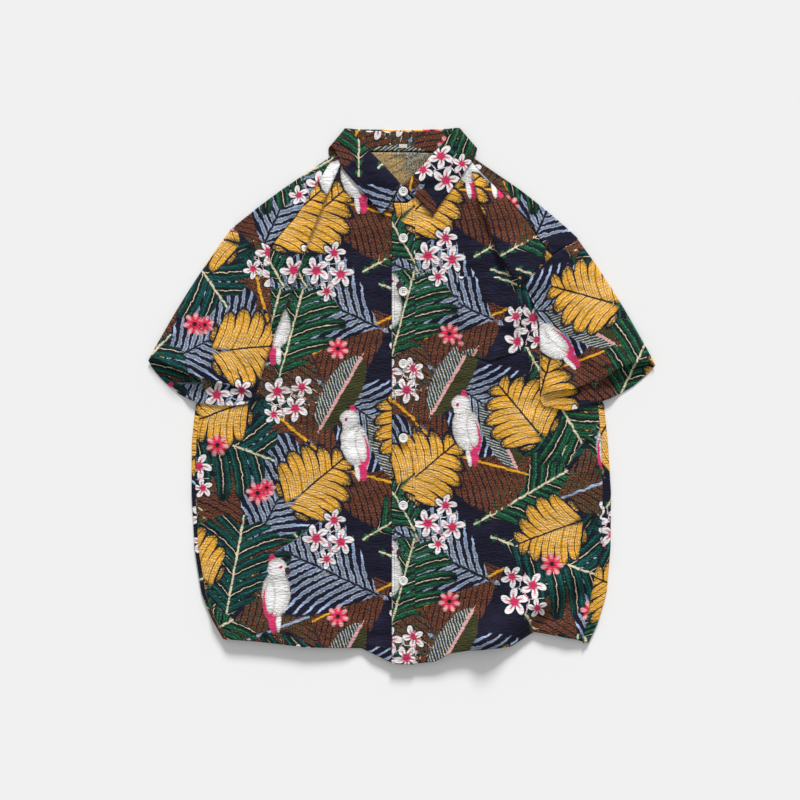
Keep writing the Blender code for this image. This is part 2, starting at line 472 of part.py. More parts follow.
def make_button(name, y, lift, material, collection):
    """A button: a disc with softened edges, lying on the band."""
    bpy.ops.mesh.primitive_cylinder_add(vertices=BUTTON_SIDES, radius=BUTTON_RADIUS, depth=BUTTON_THICKNESS)
    button = bpy.context.object
    ring = np.linspace(-BUTTON_RADIUS, BUTTON_RADIUS, 5)
    seat = upper_height(*np.meshgrid(BUTTON_X + ring, y + ring)).max()
    button.location = (BUTTON_X, y, seat + lift + CLOTH / 2 + SEAM + BUTTON_THICKNESS / 2)
    button.name = button.data.name = name
    for holder in button.users_collection:
        holder.objects.unlink(button)
    collection.objects.link(button)
    edge = button.modifiers.new("soft edge", "BEVEL")
    edge.width = BUTTON_BEVEL
    edge.segments = 1
    button.data.materials.append(material)


def make_buttons(material, collection):
    """The collar button on the stand, and six down the front band."""
    make_button("button_collar", COLLAR_BUTTON_Y, 0.0, material, collection)
    for number, y in enumerate(BUTTON_HEIGHTS, start=1):
        make_button(f"button_{number}", y, STEP, material, collection)


def make_label(material, collection):
    """Blank label on the inside of the stand at the back of the neck."""
    bpy.ops.mesh.primitive_cube_add(size=1.0)
    label = bpy.context.object
    label.name = label.data.name = "neck_label"
    height = BACK_STAND_HEIGHT + CLOTH / 2 + SEAM + LABEL["thickness"] / 2
    label.location = (*LABEL["centre"], height)
    label.scale = (*LABEL["size"], LABEL["thickness"])
    bpy.ops.object.transform_apply(location=False, rotation=False, scale=True)
    for holder in label.users_collection:
        holder.objects.unlink(label)
    collection.objects.link(label)
    label.data.materials.append(material)


def main():
    """Build the shirt."""
    for thing in list(bpy.data.objects):
        bpy.data.objects.remove(thing)
    shirt = bpy.data.collections.new("hawaiian shirt")
    bpy.context.scene.collection.children.link(shirt)
    cotton = make_material("printed cotton", *PRINT_CLOTH)
    resin = make_material("button resin", *BUTTON_RESIN)
    tape = make_material("woven label tape", *LABEL_CLOTH)
    make_back(cotton, shirt)
    make_yoke(cotton, shirt)
    make_fronts(cotton, shirt)
    make_sleeves(cotton, shirt)
    make_placket(cotton, shirt)
    make_pocket(cotton, shirt)
    make_stand(cotton, shirt)
    make_fall(cotton, shirt)
    make_label(tape, shirt)
    make_buttons(resin, shirt)


main()
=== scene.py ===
"""Looks of a hawaiian shirt in printed crinkle cotton, laid flat on its back on a pale surface.

Metres, +Z up, +X the wearer's left, +Y from the hem to the collar. Every cloth piece is a thin shell whose
mid-surface is worked out on a grid of two parameters, row by column. The print is drawn by shader nodes in
the own axes of each leaf, flower and bird, which the mesh carries as attributes.
"""

import logging
import math
from dataclasses import dataclass, field
from enum import Enum
from typing import NamedTuple

import bmesh
import bpy
import numpy as np
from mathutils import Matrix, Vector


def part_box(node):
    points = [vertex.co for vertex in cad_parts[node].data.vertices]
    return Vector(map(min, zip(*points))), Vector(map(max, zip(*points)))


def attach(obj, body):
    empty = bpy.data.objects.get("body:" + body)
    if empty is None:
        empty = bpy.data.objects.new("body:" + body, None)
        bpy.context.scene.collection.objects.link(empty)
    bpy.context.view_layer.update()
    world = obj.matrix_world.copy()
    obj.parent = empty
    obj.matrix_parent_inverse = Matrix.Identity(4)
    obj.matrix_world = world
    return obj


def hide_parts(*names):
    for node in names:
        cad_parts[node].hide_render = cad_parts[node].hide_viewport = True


Array = np.ndarray
log = logging.getLogger("shirt")
BODY = "root"
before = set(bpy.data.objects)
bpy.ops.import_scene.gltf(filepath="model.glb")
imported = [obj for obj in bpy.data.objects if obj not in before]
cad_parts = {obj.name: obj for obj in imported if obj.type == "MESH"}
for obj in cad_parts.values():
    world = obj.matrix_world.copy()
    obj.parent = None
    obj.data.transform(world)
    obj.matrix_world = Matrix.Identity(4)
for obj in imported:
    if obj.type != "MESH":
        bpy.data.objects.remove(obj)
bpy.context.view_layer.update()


# --------------------------------------------------------------------------------------------------
# Small mathematics
# --------------------------------------------------------------------------------------------------


def smoothstep(value: Array) -> Array:
    """0 below 0, 1 above 1 and a soft S between: 3v^2 - 2v^3."""
    value = np.clip(value, 0.0, 1.0)
    return value * value * (3.0 - 2.0 * value)


def catmull_rom(table: Array, count: int) -> Array:
    """Read rows evenly from the smooth cubic through a table's rows.

    Args:
        table: rows of any width.
        count: how many rows to read.
    Returns:
        (count, width) rows.
    """
    where = np.linspace(0.0, len(table) - 1.0, count)
    start = np.minimum(where.astype(int), len(table) - 2)
    t = (where - start)[:, None]
    before, a = table[np.maximum(start - 1, 0)], table[start]
    b, after = table[start + 1], table[np.minimum(start + 2, len(table) - 1)]
    return 0.5 * (2 * a + (b - before) * t + (2 * before - 5 * a + 4 * b - after) * t**2
                  + (3 * a - before - 3 * b + after) * t**3)


def even_rows(table: Array, count: int, soften: int = 2) -> Array:
    """Read rows evenly by length along the first two columns, with the corners rounded a little.

    Args:
        table: rows whose first two columns are a path in plan.
        count: how many rows to read.
        soften: how many passes of the moving average 1/4, 1/2, 1/4 round the corners.
    Returns:
        (count, width) rows.
    """
    step = np.hypot(*np.diff(table[:, :2], axis=0).T)
    length = np.concatenate([[0.0], np.cumsum(step)])
    where = np.linspace(0.0, length[-1], count)
    rows = np.stack([np.interp(where, length, column) for column in table.T], axis=1)
    for _ in range(soften):
        rows[1:-1] = 0.25 * rows[:-2] + 0.5 * rows[1:-1] + 0.25 * rows[2:]
    return rows


def across(start: Array, end: Array, count: int) -> Array:
    """Straight lines from each row of start to each row of end, as (rows, count, width)."""
    t = np.linspace(0.0, 1.0, count)[None, :, None]
    return start[:, None, :] * (1 - t) + end[:, None, :] * t


def with_height(plan: Array, height: Array) -> Array:
    """Plan points (..., 2) given their height."""
    return np.concatenate([plan, np.broadcast_to(height, plan.shape[:-1])[..., None]], axis=-1)


def value_noise(x: Array, y: Array, cell: tuple[float, float], seed: int) -> Array:
    """Smooth noise from -1 to 1: random values on a lattice of cells, eased between them with smoothstep."""
    lattice = np.random.default_rng(seed).uniform(-1.0, 1.0, (256, 256))
    u, v = x / cell[0] + 1000.0, y / cell[1] + 1000.0
    i, j = np.floor(u).astype(int), np.floor(v).astype(int)
    s, t = smoothstep(u - i), smoothstep(v - j)
    i, j, i_next, j_next = i % 256, j % 256, (i + 1) % 256, (j + 1) % 256
    low = lattice[i, j] * (1 - s) + lattice[i_next, j] * s
    high = lattice[i, j_next] * (1 - s) + lattice[i_next, j_next] * s
    return low * (1 - t) + high * t


def signed_distance(x: Array, y: Array, path: Array) -> Array:
    """Distance to a path of straight runs, positive on its left side as it is walked."""
    best = np.full(x.shape, np.inf)
    signed = np.zeros(x.shape)
    for a, b in zip(path[:-1], path[1:]):
        run = b - a
        t = np.clip(((x - a[0]) * run[0] + (y - a[1]) * run[1]) / (run @ run), 0.0, 1.0)
        dx, dy = x - a[0] - t * run[0], y - a[1] - t * run[1]
        distance = np.hypot(dx, dy)
        nearer = distance < best
        side = np.sign(run[0] * dy - run[1] * dx)
        signed = np.where(nearer, side * distance, signed)
        best = np.where(nearer, distance, best)
    return signed


# --------------------------------------------------------------------------------------------------
# The lie of the cloth
# --------------------------------------------------------------------------------------------------


class Fold(NamedTuple):
    """A soft ridge (or trough, where the height is below 0) along a straight segment."""

    start: tuple[float, float]
    end: tuple[float, float]
    width: float
    height: float


class Crease(NamedTuple):
    """A pressed fold: the cloth on its left stands higher and falls steeply at the line.

    rise is the height at the line, reach how far it dies away, hidden how much cloth is folded under.
    """

    path: tuple[tuple[float, float], ...]
    rise: float
    reach: float
    hidden: float


@dataclass
class Lie:
    """Heights of the cloth's mid-surface as the shirt lies."""

    wall: float = 0.0008
    step: float = 0.0015
    table_layer: float = 0.0008
    edge_height: float = 0.0040
    loft: float = 0.0045
    loft_reach: float = 0.060
    half_chest: float = 0.280
    shoulder_neck: tuple[float, float] = (0.085, 0.331)
    shoulder_normal: tuple[float, float] = (0.591, 0.807)
    collar_climb: tuple[float, float] = (0.272, 0.290)
    collar_under: float = 0.0017
    crease_face: float = 0.004
    hollow: float = 0.3
    hollow_reach: float = 0.030
    end_past: float = 0.012
    end_ease: float = 0.025
    edge_ease: float = 0.030
    edge_ripple: float = 0.35
    ripples: tuple[tuple[float, tuple[float, float], int], ...] = (  # height, cell, seed
        (0.00055, (0.016, 0.0062), 11), (0.0011, (0.034, 0.014), 12), (0.0016, (0.075, 0.045), 13))
    folds: tuple[Fold, ...] = (
        Fold((0.112, -0.330), (0.235, -0.236), 0.013, 0.0105),
        Fold((0.060, -0.345), (0.112, -0.322), 0.018, 0.0040),
        Fold((0.150, -0.330), (0.240, -0.268), 0.010, -0.0040),
        Fold((-0.110, 0.260), (-0.150, 0.150), 0.018, 0.0030),
        Fold((0.110, 0.265), (0.150, 0.175), 0.018, 0.0030),
        Fold((-0.235, -0.290), (-0.110, -0.310), 0.026, 0.0030),
        Fold((0.045, -0.085), (0.120, -0.160), 0.016, 0.0016),
        Fold((-0.130, -0.050), (-0.060, -0.130), 0.016, 0.0016),
        Fold((0.170, 0.130), (0.120, 0.040), 0.010, 0.0035),
        Fold((0.150, 0.080), (0.175, -0.010), 0.010, -0.0030),
        Fold((-0.160, 0.050), (-0.120, -0.020), 0.012, 0.0025),
        Fold((-0.190, -0.010), (-0.170, -0.090), 0.010, 0.0020),
        Fold((-0.055, -0.338), (-0.045, -0.280), 0.010, -0.0025),
        Fold((-0.225, -0.230), (-0.160, -0.180), 0.012, 0.0018),
        Fold((0.200, -0.120), (0.265, -0.090), 0.010, 0.0020),
        Fold((0.205, -0.060), (0.262, -0.050), 0.009, 0.0018),
        Fold((-0.265, -0.060), (-0.215, -0.075), 0.009, 0.0018),
        Fold((-0.060, 0.120), (-0.025, 0.020), 0.014, 0.0015),
        Fold((0.040, 0.215), (0.075, 0.120), 0.012, 0.0018),
        Fold((-0.255, -0.300), (-0.215, -0.250), 0.010, 0.0020),
    )
    creases: tuple[Crease, ...] = (
        Crease(((-0.1765, 0.0690), (-0.1617, 0.1087), (-0.1424, 0.1573), (-0.1243, 0.2105), (-0.1044, 0.2585),
                (-0.0834, 0.3125)), 0.0050, 0.045, 0.030),
        Crease(((0.0935, 0.3060), (0.1033, 0.2599), (0.1154, 0.2315), (0.1272, 0.1944), (0.1428, 0.1673),
                (0.1610, 0.1480)), 0.0055, 0.045, -0.034),
    )

    def fold_height(self, x: Array, y: Array) -> Array:
        """Soft ridges: each a bell across its segment."""
        total = np.zeros(x.shape)
        for fold in self.folds:
            run = np.subtract(fold.end, fold.start)
            t = np.clip(((x - fold.start[0]) * run[0] + (y - fold.start[1]) * run[1]) / (run @ run), 0.0, 1.0)
            away = (x - fold.start[0] - t * run[0]) ** 2 + (y - fold.start[1] - t * run[1]) ** 2
            total += fold.height * np.exp(-away / (2 * fold.width**2))
        return total

    def crease_height(self, x: Array, y: Array) -> Array:
        """Pressed folds: a steep face at the line, a slow fall above it and a shallow hollow below it."""
        total = np.zeros(x.shape)
        for crease in self.creases:
            path = np.array(crease.path)
            d = signed_distance(x, y, path)
            ends = self._within(x, y, path)
            face = smoothstep((d + self.crease_face / 2) / self.crease_face)
            total += ends * crease.rise * face * np.exp(-np.maximum(d, 0) / crease.reach)
            hollow = smoothstep((d + self.hollow_reach) / self.hollow_reach) * (d < 0)
            foot = 1 - smoothstep((d + self.crease_face) / self.crease_face)
            total -= ends * self.hollow * crease.rise * hollow * foot
        return total

    def _within(self, x: Array, y: Array, path: Array) -> Array:
        """1 beside a path and 0 past its ends, eased at each end."""
        run = path[-1] - path[0]
        length = np.hypot(*run)
        t = ((x - path[0][0]) * run[0] + (y - path[0][1]) * run[1]) / length
        begun = smoothstep((t + self.end_past) / self.end_ease)
        return begun * smoothstep((length - t + self.end_past) / self.end_ease)

    def print_shift(self, x: Array, y: Array) -> Array:
        """How far sideways the cloth's own axis jumps where a crease hides some of it."""
        total = np.zeros(x.shape)
        for crease in self.creases:
            path = np.array(crease.path)
            total += crease.hidden * self._within(x, y, path) * (signed_distance(x, y, path) > 0)
        return total

    def ripple(self, x: Array, y: Array) -> Array:
        """Crinkle of the cloth: noise drawn out sideways at three sizes, in metres."""
        return sum(height * value_noise(x, y, cell, seed) for height, cell, seed in self.ripples)

    def upper(self, x: Array, y: Array) -> Array:
        """Mid-surface height of the cloth on the upper side."""
        beyond = ((np.abs(x) - self.shoulder_neck[0]) * self.shoulder_normal[0]
                  + (y - self.shoulder_neck[1]) * self.shoulder_normal[1])
        inside = np.minimum(self.half_chest - np.abs(x), -beyond)
        flat = self.edge_height + self.loft * smoothstep(inside / self.loft_reach)
        ease = smoothstep(inside / self.edge_ease)
        ripple = self.ripple(x, y) * (self.edge_ripple + (1 - self.edge_ripple) * ease)
        return flat + (self.fold_height(x, y) + self.crease_height(x, y)) * ease + ripple

    def lower(self, y: Array) -> Array:
        """Mid-surface height of the cloth on the table, climbing over the collar near the neck."""
        low, high = self.collar_climb
        return self.table_layer + self.collar_under * smoothstep((y - low) / (high - low))


# --------------------------------------------------------------------------------------------------
# The print: its repeat, and where each piece is cut from it
# --------------------------------------------------------------------------------------------------


class Motif(Enum):
    """Kinds of motif: name, middle of its reach along its axis, radius of its reach, number of layers."""

    FEATHER = ("feather", 0.50, 0.58, 1)
    FAN = ("fan", 0.48, 0.70, 2)
    BANANA = ("banana", 0.50, 0.58, 1)
    PALM = ("palm", 0.52, 0.66, 1)
    GOLD = ("gold", 0.25, 0.84, 1)
    BIRD = ("bird", 0.00, 0.66, 1)
    FLOWER = ("flower", 0.00, 1.10, 1)
    FLORET = ("floret", 0.00, 1.20, 1)

    @property
    def title(self) -> str:
        """Name of the motif."""
        return self.value[0]

    @property
    def layers(self) -> int:
        """How many layers its placements are dealt to, so that neighbours don't share one."""
        return self.value[3]


class Placement(NamedTuple):
    """A motif in the cloth: where its base is, where it points, its length, its mirror and its colouring."""

    motif: Motif
    x: float
    y: float
    heading: float
    length: float
    flip: int = 1
    other_colour: bool = False


class Drawn(NamedTuple):
    """One row of the repeat: kind, place as shares of the repeat, heading, length, mirror and colouring."""

    motif: Motif
    across: float
    up: float
    heading: float
    length: float
    flip: int = 1
    other_colour: bool = False


@dataclass(frozen=True)
class Bolt:
    """The printed cloth before it is cut: one repeat of this part's own design, in a half drop.

    Each column of repeats lies half a repeat higher than the one before it, as is usual in printed cloth. The
    places are laid out evenly by kind: gold leaves, birds and blossoms each keep about a third of a repeat
    from their own kind, and the larger dark leaves fill the ground between them.
    """

    width: float = 0.30
    height: float = 0.36
    rows: tuple[Drawn, ...] = (
        Drawn(Motif.GOLD, 0.15, 0.20, 130, 0.074), Drawn(Motif.GOLD, 0.62, 0.50, 40, 0.076, -1),
        Drawn(Motif.GOLD, 0.30, 0.82, 200, 0.070),
        Drawn(Motif.BIRD, 0.50, 0.12, 90, 0.088), Drawn(Motif.BIRD, 0.86, 0.68, 100, 0.086, -1),
        Drawn(Motif.PALM, 0.40, 0.30, 62, 0.140), Drawn(Motif.PALM, 0.96, 0.12, 155, 0.145),
        Drawn(Motif.PALM, 0.72, 0.90, -35, 0.125),
        Drawn(Motif.BANANA, 0.70, 0.74, 60, 0.112), Drawn(Motif.BANANA, 0.08, 0.04, 115, 0.100),
        Drawn(Motif.FAN, 0.28, 0.04, 80, 0.120, 1, True), Drawn(Motif.FAN, 0.96, 0.36, 30, 0.126),
        Drawn(Motif.FAN, 0.04, 0.76, -20, 0.126, 1, True), Drawn(Motif.FAN, 0.62, 0.30, 120, 0.110),
        Drawn(Motif.FAN, 0.16, 0.44, -60, 0.130), Drawn(Motif.FAN, 0.82, 0.88, 200, 0.120, 1, True),
        Drawn(Motif.FAN, 0.46, 0.78, 250, 0.116), Drawn(Motif.FAN, 0.52, 0.94, 75, 0.114),
        Drawn(Motif.FEATHER, 0.40, 0.16, 95, 0.150), Drawn(Motif.FEATHER, 0.92, 0.50, 140, 0.155),
        Drawn(Motif.FEATHER, 0.26, 0.92, 20, 0.150, 1, True), Drawn(Motif.FEATHER, 0.02, 0.66, 205, 0.140),
        Drawn(Motif.FEATHER, 0.66, 0.62, -15, 0.140),
        Drawn(Motif.FLORET, 0.42, 0.50, 40, 0.016), Drawn(Motif.FLORET, 0.78, 0.04, 10, 0.015),
        Drawn(Motif.FLORET, 0.24, 0.68, 70, 0.016), Drawn(Motif.FLORET, 0.46, 0.52, 80, 0.013),
    )
    clusters: tuple[tuple[float, float, float], ...] = (  # across, up, turn
        (0.74, 0.34, 0.0), (0.10, 0.58, 50.0), (0.56, 0.86, -35.0))
    blossoms: tuple[tuple[float, float, float, float], ...] = (  # x, y, heading, size
        (-0.017, -0.003, 20.0, 0.0200), (0.016, -0.008, 65.0, 0.0190), (0.007, 0.021, 130.0, 0.0165),
        (-0.003, -0.031, 100.0, 0.0145))

    def repeat(self) -> list[Placement]:
        """The motifs of one repeat in metres, each cluster as its four blossoms."""
        placed = [Placement(row.motif, row.across * self.width, row.up * self.height, *row[3:])
                  for row in self.rows]
        for share, up, turn in self.clusters:
            c, s = math.cos(math.radians(turn)), math.sin(math.radians(turn))
            x, y = share * self.width, up * self.height
            placed += [Placement(Motif.FLOWER, x + c * u - s * v, y + s * u + c * v, heading + turn, size)
                       for u, v, heading, size in self.blossoms]
        return placed

    def over(self, cloth: Array) -> list[Placement]:
        """The motifs that reach a piece, from as many repeats as it covers."""
        low, high = cloth.min(axis=0), cloth.max(axis=0)
        placed = []
        for column in range(math.floor(low[0] / self.width) - 1, math.ceil(high[0] / self.width) + 1):
            drop = self.height / 2 * (column % 2)
            for row in range(math.floor(low[1] / self.height) - 2, math.ceil(high[1] / self.height) + 1):
                shift = np.array((column * self.width, row * self.height + drop))
                for place in self.repeat():
                    at = shift + (place.x, place.y)
                    if np.all(at > low - 2 * place.length) and np.all(at < high + 2 * place.length):
                        placed.append(place._replace(x=at[0], y=at[1]))
        return placed


class Lay(NamedTuple):
    """Where a piece is cut from the bolt: a shift in metres and a turn in degrees."""

    x: float
    y: float
    turn: float = 0.0

    def on_bolt(self, plan: Array) -> Array:
        """Points of the piece as points of the bolt."""
        c, s = math.cos(math.radians(self.turn)), math.sin(math.radians(self.turn))
        x, y = plan[:, 0], plan[:, 1]
        return np.stack([c * x - s * y + self.x, s * x + c * y + self.y], axis=1)


FRONT_LEFT_LAY = Lay(0.17, 0.29)
BAND_LAY = Lay(0.17, 0.285)  # cut beside the front it is sewn to, and not quite matched to it
POCKET_LAY = Lay(0.165, 0.30)
REACH_FADE = 0.08  # share of a motif's reach in which it gives way to its neighbours


def motif_fields(cloth: Array, placements: list[Placement]) -> dict[str, Array]:
    """The motifs' own axes at each point of the cloth.

    A point takes the nearest placement of a layer. The first two numbers are its place along and across that
    motif, in the motif's lengths. The third is 1 within the motif's reach and 0 outside it, and below 0 where
    the placement wears its other colours.

    Args:
        cloth: (n, 2) points in the cloth.
        placements: the motifs of the piece.
    Returns:
        attribute name to (n, 3) numbers, for every kind and layer.
    """
    fields: dict[str, Array] = {}
    for motif in Motif:
        _, middle, reach, layers = motif.value
        dealt: list[list[tuple[Placement, float, float]]] = [[] for _ in range(layers)]
        for place in (p for p in placements if p.motif is motif):
            angle = math.radians(place.heading)
            cx = place.x + middle * place.length * math.cos(angle)
            cy = place.y + middle * place.length * math.sin(angle)
            room = [min([math.hypot(cx - ox, cy - oy) / (reach * (place.length + other.length))
                         for other, ox, oy in layer], default=9.0) for layer in dealt]
            dealt[room.index(max(room))].append((place, cx, cy))
        for number, layer in enumerate(dealt):
            values = np.zeros((len(cloth), 3))
            nearest = np.full(len(cloth), np.inf)
            for place, cx, cy in layer:
                angle = math.radians(place.heading)
                c, s = math.cos(angle) / place.length, math.sin(angle) / place.length
                dx, dy = cloth[:, 0] - place.x, cloth[:, 1] - place.y
                local = np.stack([dx * c + dy * s, (dy * c - dx * s) * place.flip], axis=1)
                away = np.hypot(cloth[:, 0] - cx, cloth[:, 1] - cy) / (place.length * reach)
                inside = 1.0 - smoothstep((away - 1.0 + REACH_FADE) / REACH_FADE)
                value = np.column_stack([local, inside * (-1.0 if place.other_colour else 1.0)])
                closer = away < nearest
                values[closer] = value[closer]
                nearest = np.minimum(nearest, away)
            fields[f"{motif.title}_{number}"] = values
    return fields


# --------------------------------------------------------------------------------------------------
# Meshes
# --------------------------------------------------------------------------------------------------


def grid_normals(grid: Array, closed: bool) -> Array:
    """Unit normals of a grid: column direction crossed with row direction."""
    if closed:
        along = np.roll(grid, -1, axis=1) - np.roll(grid, 1, axis=1)
    else:
        along = np.gradient(grid, axis=1)
    normal = np.cross(along, np.gradient(grid, axis=0))
    return normal / np.maximum(np.linalg.norm(normal, axis=2, keepdims=True), 1e-12)


def shell_faces(rows: int, columns: int, closed: bool) -> Array:
    """Quads of a closed shell over a grid: the upper sheet, the lower one turned over, and the rims."""
    top = np.arange(rows * columns).reshape(rows, columns)
    under = top + rows * columns
    after = np.roll(top, -1, axis=1) if closed else top[:, 1:]
    here = top if closed else top[:, :-1]
    upper = np.stack([here[:-1], after[:-1], after[1:], here[1:]], axis=-1).reshape(-1, 4)
    shift = rows * columns
    quads = [upper, upper[:, ::-1] + shift,
             np.stack([after[0], here[0], here[0] + shift, after[0] + shift], axis=-1),
             np.stack([here[-1], after[-1], after[-1] + shift, here[-1] + shift], axis=-1)]
    if not closed:
        quads.append(np.stack([top[:-1, 0], top[1:, 0], under[1:, 0], under[:-1, 0]], axis=-1))
        quads.append(np.stack([top[1:, -1], top[:-1, -1], under[:-1, -1], under[1:, -1]], axis=-1))
    return np.concatenate(quads)


def new_object(name: str, points: Array, faces: Array, material: bpy.types.Material) -> bpy.types.Object:
    """A smooth mesh object at the origin, from points and faces of one width."""
    mesh = bpy.data.meshes.new(name)
    width = faces.shape[1]
    mesh.vertices.add(len(points))
    mesh.vertices.foreach_set("co", points.astype(np.float32).ravel())
    mesh.loops.add(faces.size)
    mesh.loops.foreach_set("vertex_index", faces.astype(np.int32).ravel())
    mesh.polygons.add(len(faces))
    mesh.polygons.foreach_set("loop_start", np.arange(0, faces.size, width, dtype=np.int32))
    mesh.update(calc_edges=True)
    mesh.validate()
    mesh.shade_smooth()
    mesh.materials.append(material)
    thing = bpy.data.objects.new(name, mesh)
    bpy.context.scene.collection.objects.link(thing)
    return thing


def set_attribute(thing: bpy.types.Object, name: str, values: Array) -> None:
    """Store a vector for each point of a mesh."""
    attribute = thing.data.attributes.new(name, "FLOAT_VECTOR", "POINT")
    attribute.data.foreach_set("vector", values.astype(np.float32).ravel())


@dataclass
class ClothPiece:
    """One cut piece of printed cloth, as a closed thin shell with its print attributes.

    outer is 1 where the grid's normals point to the printed side, and -1 where they point to the reverse.
    hem is the distance from each grid point to the nearest turned edge, in metres, where the piece has any.
    """

    name: str
    grid: Array
    cloth: Array
    lay: Lay
    closed: bool = False
    outer: int = 1
    wall: float = 0.0008
    hem: Array | None = None
    hem_width: float = 0.018
    hem_ease: float = 0.0015
    hem_thicker: float = 0.8
    groove_inset: float = 0.002
    groove_width: float = 0.0016
    groove_depth: float = 0.35

    def area(self) -> float:
        """Area of the mid-surface: half the cross product of each quad's diagonals, added up."""
        grid = np.concatenate([self.grid, self.grid[:, :1]], axis=1) if self.closed else self.grid
        cross = np.cross(grid[1:, 1:] - grid[:-1, :-1], grid[1:, :-1] - grid[:-1, 1:])
        return float(np.linalg.norm(cross, axis=2).sum() / 2)

    def line(self, rows: object, columns: object) -> Array:
        """Points of the grid along a row or a column, lifted onto the cloth's upper face for sewing."""
        return self.grid[rows, columns] + (0.0, 0.0, self.wall * 0.9)

    def build(self, material: bpy.types.Material) -> bpy.types.Object:
        """Make the shell, thicker in its turned hems, and store where each point lies in the cloth."""
        normals = grid_normals(self.grid, self.closed)
        wall = np.full(self.grid.shape[:2], self.wall)
        turned = np.zeros(self.grid.shape[:2])
        if self.hem is not None:
            turned = 1.0 - smoothstep((self.hem - self.hem_width) / self.hem_ease)
            groove = np.exp(-((self.hem - self.hem_width + self.groove_inset) / self.groove_width) ** 2)
            wall = wall * (1 + self.hem_thicker * turned) * (1 - self.groove_depth * groove)
        offset = normals * wall[..., None] / 2
        points = np.concatenate([(self.grid + offset).reshape(-1, 3), (self.grid - offset).reshape(-1, 3)])
        points[:, 2] = np.maximum(points[:, 2], 0.0)  # a turned hem lies flat on the table
        rows, columns = self.grid.shape[:2]
        thing = new_object(self.name, points, shell_faces(rows, columns, self.closed), material)
        plan = self.lay.on_bolt(self.cloth.reshape(-1, 2))
        reverse = (1.0 - turned).reshape(-1)
        backs = (np.zeros_like(reverse), reverse)[::self.outer]
        set_attribute(thing, "cloth", np.concatenate([np.column_stack([plan, back]) for back in backs]))
        for field_name, values in motif_fields(plan, Bolt().over(plan)).items():
            set_attribute(thing, field_name, np.concatenate([values, values]))
        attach(thing, BODY)
        log.info("%s: %d points", self.name, len(points))
        return thing


# --------------------------------------------------------------------------------------------------
# Cut pieces
# --------------------------------------------------------------------------------------------------

HEM_LINE: Array = np.array([
    (-0.240, -0.3260), (-0.190, -0.3300), (-0.129, -0.3372), (-0.055, -0.3388), (-0.037, -0.3470),
    (-0.013, -0.3588), (0.013, -0.3600), (0.046, -0.3560), (0.065, -0.3450), (0.092, -0.3408),
    (0.147, -0.3364), (0.165, -0.3250), (0.178, -0.3170), (0.200, -0.3205), (0.225, -0.3255),
    (0.247, -0.3290),
])
# outer_x, outer_y, centre_x, centre_y, from the hem to the neck
FRONT_RIGHT: Array = np.array([
    (-0.2345, -0.3270, 0.0165, -0.3585), (-0.2480, -0.3050, 0.0165, -0.3250),
    (-0.2640, -0.2650, 0.0165, -0.2800), (-0.2740, -0.2040, 0.0165, -0.2100),
    (-0.2780, -0.1290, 0.0165, -0.1300), (-0.2765, -0.0600, 0.0165, -0.0550),
    (-0.2700, -0.0080, 0.0165, 0.0050), (-0.2300, 0.0330, 0.0165, 0.0500),
    (-0.1780, 0.0740, 0.0165, 0.0950), (-0.1754, 0.1100, 0.0165, 0.1300),
    (-0.1754, 0.1420, 0.0165, 0.1650), (-0.1770, 0.1800, 0.0165, 0.2000),
    (-0.1750, 0.2005, 0.0165, 0.2250), (-0.1446, 0.2380, 0.0165, 0.2450),
    (-0.1114, 0.2880, -0.0130, 0.2615), (-0.0985, 0.3115, -0.0500, 0.2920),
    (-0.0905, 0.3230, -0.0850, 0.3220),
])
FRONT_LEFT: Array = np.array([
    (0.2440, -0.3270, -0.0132, -0.3588), (0.2500, -0.2950, -0.0132, -0.3250),
    (0.2590, -0.2450, -0.0132, -0.2800), (0.2680, -0.1980, -0.0132, -0.2100),
    (0.2710, -0.1290, -0.0132, -0.1300), (0.2690, -0.0640, -0.0132, -0.0550),
    (0.2640, -0.0120, -0.0132, 0.0050), (0.2350, 0.0350, -0.0132, 0.0500),
    (0.1880, 0.0880, -0.0132, 0.1000), (0.1765, 0.1250, -0.0132, 0.1350),
    (0.1636, 0.1530, -0.0132, 0.1650), (0.1830, 0.1716, -0.0132, 0.1950),
    (0.2008, 0.1890, -0.0132, 0.2250), (0.1800, 0.2165, -0.0132, 0.2450),
    (0.1450, 0.2625, 0.0090, 0.2615), (0.1120, 0.2960, 0.0500, 0.2920), (0.0930, 0.3190, 0.0870, 0.3200),
])


